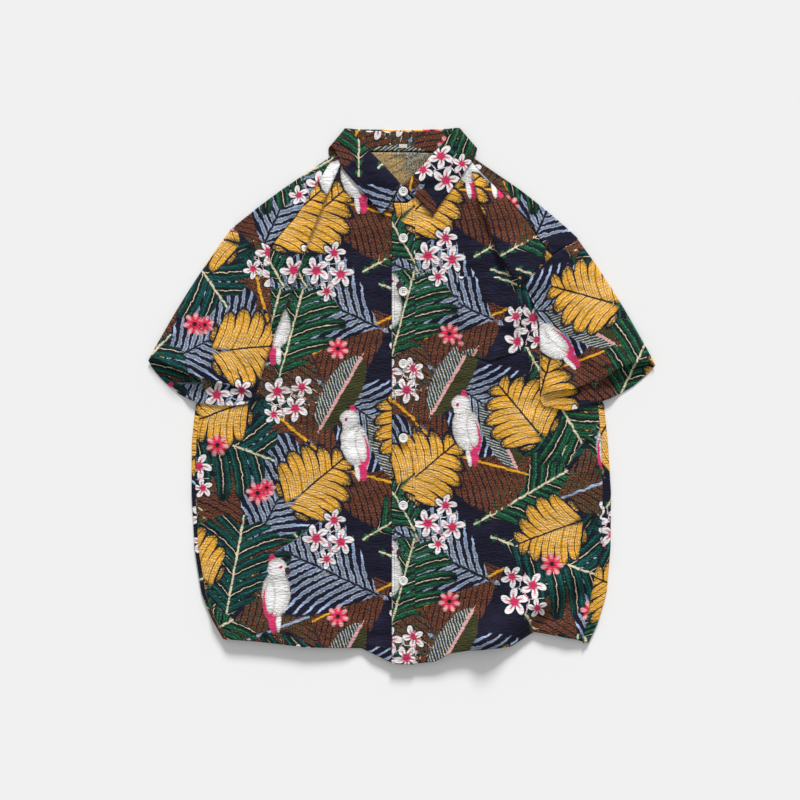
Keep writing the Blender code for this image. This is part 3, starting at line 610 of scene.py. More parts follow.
@dataclass
class Front:
    """A front: straight lines from its outer edge to its centre edge, its hem brought to the hem line."""

    name: str
    table: Array
    lay: Lay
    rows: int = 364
    columns: int = 112
    hem_reach: float = 0.060
    tuck: float = 0.0025
    sink: float = 0.0011
    lap_dip: tuple[float, float] = (-0.080, -0.045)

    def plan(self) -> Array:
        """Plan points of the front, (rows, columns, 2)."""
        middle = np.column_stack([(self.table[:, 0] + self.table[:, 2]) / 2,
                                  (self.table[:, 1] + self.table[:, 3]) / 2, self.table])
        edge = even_rows(middle, self.rows, 3)[:, 2:]
        away = edge[:, :2] - edge[:, 2:4]
        away /= np.maximum(np.linalg.norm(away, axis=1, keepdims=True), self.tuck)
        plan = across(edge[:, :2] + self.tuck * away, edge[:, 2:4], self.columns)
        hem_y = np.interp(plan[0, :, 0], HEM_LINE[:, 0], HEM_LINE[:, 1])
        fade = 1.0 - smoothstep((plan[:, :, 1] - plan[0, :, 1]) / self.hem_reach)
        plan[:, :, 1] += (hem_y - plan[0, :, 1])[None, :] * fade
        return plan

    def piece(self, lie: Lie) -> ClothPiece:
        """The front as a piece of cloth; the one that laps under dips, and sewn edges tuck under."""
        plan = self.plan()
        x, y = plan[..., 0], plan[..., 1]
        height = lie.upper(x, y)
        if self.table[0, 0] < 0:
            dry, dipped = self.lap_dip
            height = height - lie.step * smoothstep((x - dry) / (dipped - dry))
        from_edge = np.hypot(x - x[:, :1], y - y[:, :1])
        height = height - self.sink * (1 - smoothstep((from_edge - self.tuck) / self.tuck))
        cloth = plan.copy()
        cloth[..., 0] += lie.print_shift(x, y)
        hem = np.hypot(x - x[:1], y - y[:1])
        outer = 1 if self.table[0, 0] < self.table[0, 2] else -1
        return ClothPiece(self.name, with_height(plan, height), cloth, self.lay, outer=outer, hem=hem)


# left_x, left_y, right_x, right_y, rolled, from the hem up
BACK_EDGES: Array = np.array([
    (-0.2400, -0.3266, 0.2510, -0.3320, 1), (-0.2560, -0.3000, 0.2640, -0.3050, 1),
    (-0.2700, -0.2640, 0.2760, -0.2640, 1), (-0.2790, -0.2040, 0.2812, -0.2040, 1),
    (-0.2832, -0.1290, 0.2818, -0.1290, 1), (-0.2826, -0.0600, 0.2775, -0.0600, 1),
    (-0.2775, -0.0100, 0.2722, -0.0100, 1), (-0.2772, -0.0090, 0.2720, -0.0090, 0),
    (-0.2640, 0.0240, 0.2632, 0.0240, 0), (-0.2560, 0.0470, 0.2560, 0.0470, 0),
    (-0.2440, 0.0850, 0.2460, 0.0850, 0), (-0.2330, 0.1300, 0.2375, 0.1300, 0),
    (-0.2280, 0.1800, 0.2330, 0.1750, 0), (-0.2270, 0.2195, 0.2310, 0.2050, 0),
])
# hem line of the back: x, y, drawn up under the fold at the wearer's left
BACK_HEM: Array = np.array([
    (-0.242, -0.3266), (-0.100, -0.3360), (0.000, -0.3380), (0.110, -0.3290), (0.180, -0.3130),
    (0.249, -0.3320),
])


@dataclass
class BackPanel:
    """Back: flat on the table, its sides rolled up and over to the side seams as far as the underarm."""

    rows: int = 190
    columns: int = 130
    roll_points: int = 9
    over_points: int = 5
    yoke_centre: float = 0.1957
    yoke_gap: float = 0.0012

    def piece(self, lie: Lie) -> ClothPiece:
        """The back as a piece of cloth."""
        edges = even_rows(BACK_EDGES, self.rows, 2)
        rolled = smoothstep(edges[:, 4])[:, None]
        radius = (lie.edge_height - lie.table_layer) / 2
        left, right = edges[:, :2].copy(), edges[:, 2:4].copy()
        left[:, 0] += radius
        right[:, 0] -= radius
        flat = across(left, right, self.columns)
        up = np.linspace(0.0, 1.0, self.rows)
        hem_y = np.interp(flat[0, :, 0], BACK_HEM[:, 0], BACK_HEM[:, 1])
        flat[..., 1] += (hem_y - flat[0, :, 1])[None, :] * (1 - smoothstep(up / 0.3))[:, None]
        yoke_edge = np.interp(flat[-1, :, 0], (YOKE_RIGHT[-1, 0], 0.0, YOKE_LEFT[-1, 0]),
                              (YOKE_RIGHT[-1, 1], self.yoke_centre, YOKE_LEFT[-1, 1]))
        rise = yoke_edge - self.yoke_gap - flat[-1, :, 1]
        flat[..., 1] += rise[None, :] * smoothstep((up - 0.7) / 0.3)[:, None]
        body = with_height(flat, lie.table_layer)
        strips = []
        for edge, sign, table in ((body[:, 0], -1.0, FRONT_RIGHT), (body[:, -1], 1.0, FRONT_LEFT)):
            seam_x = np.interp(edge[:, 1], table[:8, 1], table[:8, 0])
            wrapped = self._wrapped(edge, sign, radius, seam_x, lie)
            aside = np.linspace(0, sign * radius, wrapped.shape[1] + 1)[None, 1:, None] * (1, 0, 0)
            flat_strip = edge[:, None, :] + aside
            strips.append(flat_strip * (1 - rolled[..., None]) + wrapped * rolled[..., None])
        grid = np.concatenate([strips[0][:, ::-1], body, strips[1]], axis=1)
        cloth = grid[..., :2].copy()
        run = np.cumsum(np.linalg.norm(np.diff(grid, axis=1, prepend=grid[:, :1]), axis=2), axis=1)
        cloth[..., 0] = run - run[:, self.columns // 2:self.columns // 2 + 1]
        hem = np.linalg.norm(grid - grid[:1], axis=2)
        return ClothPiece("back_cloth", grid, cloth, Lay(0.08, 0.21, 180.0), outer=-1, hem=hem)

    def _wrapped(self, edge: Array, sign: float, radius: float, seam_x: Array, lie: Lie) -> Array:
        """A half circle up from the table, then inward over the top to the side seam."""
        angle = np.linspace(-math.pi / 2, math.pi / 2, self.roll_points)[1:]
        turn = np.repeat(edge[:, None, :], len(angle), axis=1)
        turn[..., 0] += sign * radius * np.cos(angle)[None]
        turn[..., 2] += radius * (1 + np.sin(angle))[None]
        t = np.linspace(0.0, 1.0, self.over_points + 1)[1:]
        over = np.repeat(turn[:, -1:], self.over_points, axis=1)
        over[..., 0] += (seam_x + sign * 0.0003 - edge[:, 0])[:, None] * t[None]
        over[..., 2] = turn[:, -1:, 2] * (1 - t)[None] + lie.upper(over[..., 0], over[..., 1]) * t[None]
        ripple = lie.ripple(turn[..., 0], turn[..., 1]) * lie.edge_ripple
        turn[..., 2] += ripple * ((1 + np.sin(angle)) / 2)[None]
        return np.concatenate([turn, over], axis=1)


# fold_x, fold_y, seam_x, seam_y, back_y, from the neck to the armhole
YOKE_RIGHT: Array = np.array([
    (-0.0870, 0.3290, -0.0895, 0.3245, 0.3295), (-0.1010, 0.3195, -0.0990, 0.3130, 0.3050),
    (-0.1272, 0.3017, -0.1120, 0.2895, 0.2800), (-0.1630, 0.2777, -0.1313, 0.2580, 0.2560),
    (-0.1922, 0.2561, -0.1450, 0.2392, 0.2350), (-0.2130, 0.2395, -0.1631, 0.2186, 0.2150),
    (-0.2315, 0.2246, -0.1755, 0.2026, 0.1963),
])
YOKE_LEFT: Array = np.array([
    (0.0890, 0.3270, 0.0920, 0.3210, 0.3295), (0.1060, 0.3150, 0.1010, 0.3080, 0.3050),
    (0.1300, 0.2985, 0.1200, 0.2890, 0.2800), (0.1600, 0.2780, 0.1460, 0.2632, 0.2560),
    (0.1900, 0.2545, 0.1680, 0.2408, 0.2350), (0.2150, 0.2335, 0.1822, 0.2172, 0.2150),
    (0.2372, 0.2132, 0.2020, 0.1907, 0.1963),
])


@dataclass
class Yoke:
    """Yoke: from the centre of the back round both shoulder folds to the front yoke seams."""

    rows: int = 84
    under: int = 60
    turn: int = 9
    over: int = 26

    def half(self, table: Array, lie: Lie) -> tuple[Array, Array]:
        """One side, as grid points and as points in the cloth."""
        rows = even_rows(table, self.rows, 2)
        side = math.copysign(1.0, table[0, 0])
        outward = np.array(lie.shoulder_normal) * (side, 1.0)
        low = lie.lower(rows[:, 1])
        radius = (lie.edge_height - low) / 2
        base = rows[:, :2] - outward * radius[:, None]
        centre = np.column_stack([np.zeros(self.rows), rows[:, 4]])
        below = across(centre, base, self.under)
        below = with_height(below, lie.lower(below[..., 1]))
        angle = np.linspace(-math.pi / 2, math.pi / 2, self.turn)[1:-1]
        turn = np.repeat(base[:, None, :], len(angle), axis=1) + (
            radius[:, None, None] * np.cos(angle)[None, :, None] * outward)
        ripple = lie.ripple(turn[..., 0], turn[..., 1]) * lie.edge_ripple * ((1 + np.sin(angle)) / 2)
        turn = with_height(turn, below[:, -1:, 2] + radius[:, None] * (1 + np.sin(angle))[None] + ripple)
        top = across(base, rows[:, 2:4], self.over)
        top = with_height(top, lie.upper(top[..., 0], top[..., 1]))
        grid = np.concatenate([below, turn, top], axis=1)
        return grid, grid[..., :2].copy()

    def piece(self, lie: Lie) -> ClothPiece:
        """The yoke as a piece of cloth."""
        right, right_cloth = self.half(YOKE_RIGHT, lie)
        left, left_cloth = self.half(YOKE_LEFT, lie)
        grid = np.concatenate([right[:, ::-1], left[:, 1:]], axis=1)
        cloth = np.concatenate([right_cloth[:, ::-1], left_cloth[:, 1:]], axis=1)
        return ClothPiece("yoke_cloth", grid, cloth, Lay(0.19, 0.05, 90.0), outer=1)


# layer (0 from the table, 1 from the body's upper cloth), arm_x, arm_y, arm_z, cuff_x, cuff_y, cuff_z
SLEEVE_RIGHT: Array = np.array([
    (0, -0.2312, 0.2236, 0.0023, -0.3412, 0.0480, 0.0040),
    (1, -0.2275, 0.2221, 0.0000, -0.3370, 0.0530, 0.0070),
    (1, -0.2120, 0.2163, 0.0000, -0.3220, 0.0473, 0.0100),
    (1, -0.1940, 0.2092, 0.0000, -0.3060, 0.0370, 0.0125),
    (1, -0.1768, 0.2020, 0.0000, -0.2900, 0.0317, 0.0140),
    (1, -0.1775, 0.1850, 0.0000, -0.2700, 0.0236, 0.0150),
    (1, -0.1776, 0.1650, 0.0003, -0.2500, 0.0185, 0.0150),
    (1, -0.1764, 0.1420, 0.0008, -0.2310, 0.0142, 0.0145),
    (1, -0.1757, 0.1100, 0.0020, -0.2140, 0.0110, 0.0140),
    (1, -0.1740, 0.0780, 0.0048, -0.2010, 0.0030, 0.0135),
    (1, -0.1722, 0.0745, 0.0032, -0.1990, -0.0030, 0.0032),
    (1, -0.1765, 0.0715, 0.0017, -0.2030, -0.0090, 0.0017),
    (1, -0.2100, 0.0480, 0.0017, -0.2260, -0.0125, 0.0017),
    (1, -0.2400, 0.0260, 0.0017, -0.2450, -0.0120, 0.0017),
    (1, -0.2620, 0.0100, 0.0017, -0.2660, -0.0095, 0.0017),
    (1, -0.2700, 0.0050, 0.0018, -0.2820, -0.0060, 0.0015),
    (0, -0.2660, 0.0255, 0.0024, -0.3000, 0.0030, 0.0010),
    (0, -0.2566, 0.0470, 0.0006, -0.3140, 0.0140, 0.0006),
    (0, -0.2446, 0.0850, 0.0006, -0.3260, 0.0257, 0.0006),
    (0, -0.2336, 0.1300, 0.0006, -0.3330, 0.0340, 0.0006),
    (0, -0.2286, 0.1800, 0.0006, -0.3375, 0.0400, 0.0006),
    (0, -0.2290, 0.2195, 0.0006, -0.3392, 0.0440, 0.0006),
])
SLEEVE_LEFT: Array = np.array([
    (0, 0.2369, 0.2120, 0.0023, 0.3412, 0.0420, 0.0040),
    (1, 0.2335, 0.2100, 0.0000, 0.3370, 0.0470, 0.0070),
    (1, 0.2230, 0.2032, 0.0000, 0.3250, 0.0465, 0.0100),
    (1, 0.2120, 0.1962, 0.0000, 0.3135, 0.0452, 0.0125),
    (1, 0.2026, 0.1896, 0.0000, 0.2970, 0.0398, 0.0140),
    (1, 0.1845, 0.1718, 0.0000, 0.2800, 0.0320, 0.0150),
    (1, 0.1650, 0.1530, 0.0003, 0.2630, 0.0230, 0.0150),
    (1, 0.1700, 0.1385, 0.0010, 0.2450, 0.0155, 0.0145),
    (1, 0.1770, 0.1255, 0.0020, 0.2285, 0.0088, 0.0140),
    (1, 0.1862, 0.0950, 0.0048, 0.1930, 0.0050, 0.0135),
    (1, 0.1845, 0.0905, 0.0032, 0.1860, -0.0030, 0.0032),
    (1, 0.1885, 0.0870, 0.0017, 0.1905, -0.0130, 0.0017),
    (1, 0.2150, 0.0580, 0.0017, 0.2224, -0.0190, 0.0017),
    (1, 0.2400, 0.0320, 0.0017, 0.2433, -0.0150, 0.0017),
    (1, 0.2570, 0.0130, 0.0017, 0.2620, -0.0085, 0.0017),
    (1, 0.2660, 0.0050, 0.0018, 0.2800, -0.0030, 0.0015),
    (0, 0.2652, 0.0255, 0.0024, 0.2970, 0.0050, 0.0010),
    (0, 0.2566, 0.0470, 0.0006, 0.3120, 0.0140, 0.0006),
    (0, 0.2466, 0.0850, 0.0006, 0.3230, 0.0230, 0.0006),
    (0, 0.2381, 0.1300, 0.0006, 0.3310, 0.0300, 0.0006),
    (0, 0.2336, 0.1750, 0.0006, 0.3360, 0.0350, 0.0006),
    (0, 0.2345, 0.2080, 0.0006, 0.3390, 0.0380, 0.0006),
])


@dataclass
class Sleeve:
    """A sleeve: lines from the armhole seam to the cuff, all round the flattened tube."""

    name: str
    table: Array
    lay: Lay
    rows: int = 92
    round_points: int = 176
    bow: float = 0.005
    cuff_hem: float = 0.032
    slant: tuple[float, float] = (0.82, 0.57)
    crease_height: float = 0.0021
    crease_cell: tuple[float, float] = (0.024, 0.090)
    crease_seed: int = 31

    def piece(self, lie: Lie) -> ClothPiece:
        """The sleeve as a piece of cloth, its upper sheet crinkled and creased towards the armhole."""
        ring = np.concatenate([self.table, self.table[:1]])
        middle = np.column_stack([(ring[:, 1] + ring[:, 4]) / 2, (ring[:, 2] + ring[:, 5]) / 2, ring])
        ring = even_rows(middle, self.round_points + 1, 1)[:-1, 2:]
        t = np.linspace(0.0, 1.0, self.rows)[:, None]
        plan = ring[None, :, 1:3] * (1 - t[..., None]) + ring[None, :, 4:6] * t[..., None]
        outer = np.clip((np.abs(ring[:, 4]) - 0.27) / 0.06, 0.0, 1.0)[None, :]
        plan[..., 0] += 4 * t * (1 - t) * self.bow * np.sign(ring[0, 1]) * outer
        on_body = lie.upper(plan[..., 0], plan[..., 1])
        height = (ring[None, :, 3] + ring[None, :, 0] * on_body[:1]) * (1 - t) + ring[None, :, 6] * t
        following = on_body + ring[None, :, 3] * (1 - t) + ring[None, :, 6] * t
        over = smoothstep(ring[:, 0] * smoothstep((0.0050 - ring[:, 6]) / 0.0025))[None, :]
        height = height * (1 - over) + following * over
        lifted = smoothstep((ring[:, 6] - 0.003) / 0.006)[None, :] * smoothstep(t / 0.08)
        height = height + lifted * self.creases(plan[..., 0], plan[..., 1], lie)
        grid = with_height(plan, height)
        hem = np.linalg.norm(grid - grid[-1:], axis=2)
        outer = 1 if self.table[0, 1] > 0 else -1
        return ClothPiece(self.name, grid, plan.copy(), self.lay, closed=True, outer=outer, hem=hem,
                          hem_width=self.cuff_hem)

    def creases(self, x: Array, y: Array, lie: Lie) -> Array:
        """Crinkle, with long soft folds running from the armhole to the cuff."""
        side = np.sign(self.table[0, 1])
        c, s = self.slant
        slant = (x * side) * c + y * s
        along = y * c - (x * side) * s
        noise = value_noise(slant, along, self.crease_cell, self.crease_seed + int(side))
        return lie.ripple(x, y) + self.crease_height * noise


@dataclass
class FrontTrim:
    """Front band and chest pocket, each made from the points of the front that it lies on."""

    band_edges: tuple[float, float] = (-0.0132, 0.0179)
    band_top: float = 0.2600
    pocket_left: float = 0.0759
    pocket_right: float = 0.1600
    pocket_top: float = 0.1610
    pocket_shoulder: float = 0.0600
    pocket_point: float = 0.0470
    lift: float = 0.0014
    band_grid: tuple[int, int] = (326, 18)
    pocket_grid: tuple[int, int] = (62, 48)
    band_wall: float = 0.0009
    pocket_hem: float = 0.022

    def band(self, lie: Lie) -> ClothPiece:
        """The front band, from the hem to the collar."""
        rows, columns = self.band_grid
        x = np.linspace(*self.band_edges, columns)
        start = np.interp(x, HEM_LINE[:, 0], HEM_LINE[:, 1]) - 0.0004
        end = np.full(columns, self.band_top)
        plan = across(np.column_stack([x, start]), np.column_stack([x, end]), rows).transpose(1, 0, 2)
        edge = np.minimum(plan[..., 0] - self.band_edges[0], self.band_edges[1] - plan[..., 0])
        height = lie.upper(plan[..., 0], plan[..., 1]) + self.lift * (0.55 + 0.45 * smoothstep(edge / 0.002))
        height = height - 0.00035 * np.exp(-((edge - 0.004) / 0.0012) ** 2)
        hem = plan[..., 1] - plan[:1, :, 1]
        return ClothPiece("band_cloth", with_height(plan, height), plan.copy(), BAND_LAY,
                          wall=self.band_wall, hem=hem)

    def pocket(self, lie: Lie) -> ClothPiece:
        """The chest pocket, with a shallow point at its bottom."""
        rows, columns = self.pocket_grid
        x = np.linspace(self.pocket_left, self.pocket_right, columns)
        middle, reach = (self.pocket_left + self.pocket_right) / 2, (self.pocket_right - self.pocket_left) / 2
        bottom = self.pocket_point + (self.pocket_shoulder - self.pocket_point) * np.abs(x - middle) / reach
        top = np.full(columns, self.pocket_top)
        plan = across(np.column_stack([x, bottom]), np.column_stack([x, top]), rows).transpose(1, 0, 2)
        sides = np.minimum(np.minimum(plan[..., 0] - self.pocket_left, self.pocket_right - plan[..., 0]),
                           plan[..., 1] - bottom[None, :])
        gape = 0.0012 * np.exp(-((self.pocket_top - plan[..., 1]) / 0.02)) * smoothstep(sides / 0.02)
        raised = self.lift * (0.6 + 0.4 * smoothstep(sides / 0.003))
        height = lie.upper(plan[..., 0], plan[..., 1]) + raised + gape
        height = height - 0.0003 * np.exp(-((sides - 0.003) / 0.0012) ** 2)
        return ClothPiece("pocket_cloth", with_height(plan, height), plan.copy(), POCKET_LAY,
                          hem=self.pocket_top - plan[..., 1], hem_width=self.pocket_hem)


# fold_x, fold_y, outer_x, outer_y, upper (1 on the fronts, 0 under the back), from the wearer's right front
# round the neck
FALL: Array = np.array([
    (-0.0015, 0.2860, -0.0260, 0.2440, 1.0), (-0.0150, 0.3010, -0.0400, 0.2610, 1.0),
    (-0.0350, 0.3220, -0.0590, 0.2830, 1.0), (-0.0550, 0.3430, -0.0780, 0.3050, 1.0),
    (-0.0655, 0.3535, -0.0850, 0.3210, 1.0), (-0.0735, 0.3600, -0.0935, 0.3370, 0.85),
    (-0.0760, 0.3615, -0.0985, 0.3335, 0.35), (-0.0745, 0.3620, -0.0975, 0.3255, 0.0),
    (-0.0700, 0.3615, -0.0880, 0.3150, 0.0), (-0.0580, 0.3605, -0.0660, 0.3080, 0.0),
    (-0.0300, 0.3600, -0.0330, 0.3050, 0.0), (0.0000, 0.3590, 0.0000, 0.3045, 0.0),
    (0.0300, 0.3600, 0.0330, 0.3050, 0.0), (0.0580, 0.3610, 0.0680, 0.3080, 0.0),
    (0.0735, 0.3625, 0.0920, 0.3150, 0.0), (0.0775, 0.3620, 0.1010, 0.3310, 0.35),
    (0.0750, 0.3605, 0.0990, 0.3345, 0.85), (0.0670, 0.3540, 0.0960, 0.3200, 1.0),
    (0.0570, 0.3430, 0.0870, 0.3060, 1.0), (0.0370, 0.3210, 0.0690, 0.2810, 1.0),
    (0.0170, 0.2990, 0.0530, 0.2600, 1.0), (0.0035, 0.2850, 0.0415, 0.2423, 1.0),
])
# fold_x, fold_y, seam_x, seam_y, upper, from the end that is lapped over, round the neck, to the end on top
STAND: Array = np.array([
    (0.0080, 0.2835, 0.0160, 0.2636, 1.0), (-0.0030, 0.2860, -0.0130, 0.2636, 1.0),
    (-0.0170, 0.3010, -0.0340, 0.2805, 1.0), (-0.0350, 0.3200, -0.0530, 0.2970, 1.0),
    (-0.0540, 0.3400, -0.0720, 0.3120, 1.0), (-0.0660, 0.3520, -0.0840, 0.3240, 0.9),
    (-0.0700, 0.3575, -0.0830, 0.3310, 0.5), (-0.0640, 0.3585, -0.0740, 0.3310, 0.15),
    (-0.0400, 0.3580, -0.0420, 0.3310, 0.0), (0.0000, 0.3570, 0.0000, 0.3310, 0.0),
    (0.0400, 0.3580, 0.0420, 0.3310, 0.0), (0.0650, 0.3590, 0.0760, 0.3310, 0.15),
    (0.0715, 0.3580, 0.0850, 0.3280, 0.5), (0.0670, 0.3520, 0.0862, 0.3220, 0.9),
    (0.0560, 0.3400, 0.0740, 0.3125, 1.0), (0.0370, 0.3190, 0.0530, 0.2970, 1.0),
    (0.0190, 0.2990, 0.0330, 0.2815, 1.0), (0.0030, 0.2845, 0.0090, 0.2636, 1.0),
    (-0.0100, 0.2835, -0.0130, 0.2636, 1.0),
])


@dataclass
class Collar:
    """Two-part collar: a stand round the neck, and a fall turned down over it with two points."""

    samples: int = 240
    stand_columns: int = 16
    fall_columns: int = 30
    back_stand_height: float = 0.0024
    lap: tuple[float, float] = (0.72, 0.85)

    def stand(self, lie: Lie) -> ClothPiece:
        """The stand, whose under end dips in the lap at the front."""
        rows = catmull_rom(STAND, self.samples)
        plan = across(rows[:, 2:4], rows[:, :2], self.stand_columns)
        upper = np.clip(rows[:, 4], 0.0, 1.0)[:, None]
        part = -np.linspace(-1.0, 1.0, self.samples)[:, None]
        dip = lie.step * smoothstep((part - self.lap[0]) / (self.lap[1] - self.lap[0]))
        height = upper * (lie.upper(plan[..., 0], plan[..., 1]) - dip) + (1 - upper) * self.back_stand_height
        return ClothPiece("stand_cloth", with_height(plan, height), plan.copy(), Lay(0.23, 0.02, 70.0),
                          outer=1, hem=np.zeros(plan.shape[:2]))

    def fall(self, lie: Lie) -> ClothPiece:
        """The fall, rolling over its fold line and lying on the fronts, round the neck and under the back."""
        rows = catmull_rom(FALL, self.samples)
        fold, outer, upper = rows[:, :2], rows[:, 2:4], np.clip(rows[:, 4], 0.0, 1.0)[:, None]
        plan = across(fold, outer, self.fall_columns)
        s = np.linspace(0.0, 1.0, self.fall_columns)[None, :]
        crown = 0.0012 * np.sin(math.pi * np.clip(s * 1.6, 0.0, 1.0)) - 0.0012 * (1 - smoothstep(s / 0.08))
        on_front = lie.upper(plan[..., 0], plan[..., 1]) + lie.step + 0.0004 + crown
        height = upper * on_front + (1 - upper) * lie.table_layer
        edge = np.minimum(s, 1 - s) * 0.045
        height = height - upper * 0.0003 * np.exp(-((edge - 0.005) / 0.0012) ** 2) * (s > 0.5)
        return ClothPiece("fall_cloth", with_height(plan, height), plan.copy(), Lay(0.04, 0.28, -60.0),
                          outer=-1, hem=np.zeros(plan.shape[:2]))


# --------------------------------------------------------------------------------------------------
# Finishes
# --------------------------------------------------------------------------------------------------


def linear(colour: str) -> tuple[float, float, float, float]:
    """An sRGB hex colour as linear numbers with full opacity."""
    parts = [int(colour[i:i + 2], 16) / 255 for i in (1, 3, 5)]
    red, green, blue = ((c / 12.92 if c <= 0.04045 else ((c + 0.055) / 1.055) ** 2.4) for c in parts)
    return red, green, blue, 1.0


class Value:
    """A number, vector or colour that a node gives, with which a drawing's sums are written as sums."""

    def __init__(self, graph: "Graph", socket: bpy.types.NodeSocket) -> None:
        """Remember the graph and the socket."""
        self.graph = graph
        self.socket = socket

    def _with(self, operation: str, *others: object) -> "Value":
        """This value first, then the others, in one sum."""
        return self.graph.add("ShaderNodeMath", {"operation": operation}, self, *others)

    def __add__(self, other: object) -> "Value":
        """Sum."""
        return self._with("ADD", other)

    def __sub__(self, other: object) -> "Value":
        """Difference."""
        return self._with("SUBTRACT", other)

    def __mul__(self, other: object) -> "Value":
        """Product."""
        return self._with("MULTIPLY", other)

    def __truediv__(self, other: object) -> "Value":
        """Quotient."""
        return self._with("DIVIDE", other)

    def __pow__(self, other: object) -> "Value":
        """Power."""
        return self._with("POWER", other)

    def __abs__(self) -> "Value":
        """Size without its sign."""
        return self._with("ABSOLUTE")

    def __and__(self, other: object) -> "Value":
        """Where both masks are."""
        return self._with("MINIMUM", other)

    def __or__(self, other: object) -> "Value":
        """Where either mask is."""
        return self._with("MAXIMUM", other)

    def __invert__(self) -> "Value":
        """Where the mask isn't."""
        return self.graph.add("ShaderNodeMath", {"operation": "SUBTRACT"}, 1.0, self)


class Graph:
    """The nodes of one material."""

    def __init__(self, name: str) -> None:
        """Start an empty material with its shader and output."""
        self.material = bpy.data.materials.new(name)
        self.material.use_nodes = True
        self.tree = self.material.node_tree
        self.shader = self.tree.nodes["Principled BSDF"]

    def add(self, kind: str, settings: dict[str, object], *inputs: object, out: int = 0) -> Value:
        """Add a node with its settings and links.

        Args:
            kind: the node's type.
            settings: its properties.
            inputs: for each socket in turn a value to link, a constant, or None to leave it.
            out: which output is given back.
        Returns:
            the output.
        """
        node = self.tree.nodes.new(kind)
        for key, value in settings.items():
            setattr(node, key, value)
        for socket, value in zip(node.inputs, inputs):
            if isinstance(value, Value):
                self.tree.links.new(value.socket, socket)
            elif value is not None:
                socket.default_value = value
        return Value(self, node.outputs[out])

    def edge(self, value: Value, outside: float, inside: float) -> Value:
        """Soft brush edge: 0 where the value is at outside, 1 where it is at inside."""
        return self.add("ShaderNodeMapRange", {}, value, outside, inside, 0.0, 1.0)

    def over(self, under: object, ink: object, mask: object) -> Value:
        """One ink laid over another where the mask is."""
        left = (None,) * 5  # the sockets for numbers and vectors
        return self.add("ShaderNodeMix", {"data_type": "RGBA"}, mask, *left, under, ink, out=2)

    def from_line(self, value: Value, count: float) -> Value:
        """Distance from the nearest of evenly spaced lines: 0 on a line and 0.5 half-way between two."""
        return self.add("ShaderNodeMath", {"operation": "PINGPONG"}, value * count, 0.5)

    def finish(self, **sockets: object) -> bpy.types.Material:
        """Set or link the shader's own sockets, named with _ for a space, and give back the material."""
        for name, value in sockets.items():
            socket = self.shader.inputs[name.replace("_", " ")]
            if isinstance(value, Value):
                self.tree.links.new(value.socket, socket)
            else:
                socket.default_value = value
        return self.material


class Spot(NamedTuple):
    """What a drawing is given: the print under it, the motif's axes and masks, and the brush's speckle."""

    under: Value
    x: Value
    y: Value
    inside: Value
    other: Value
    dots: Value


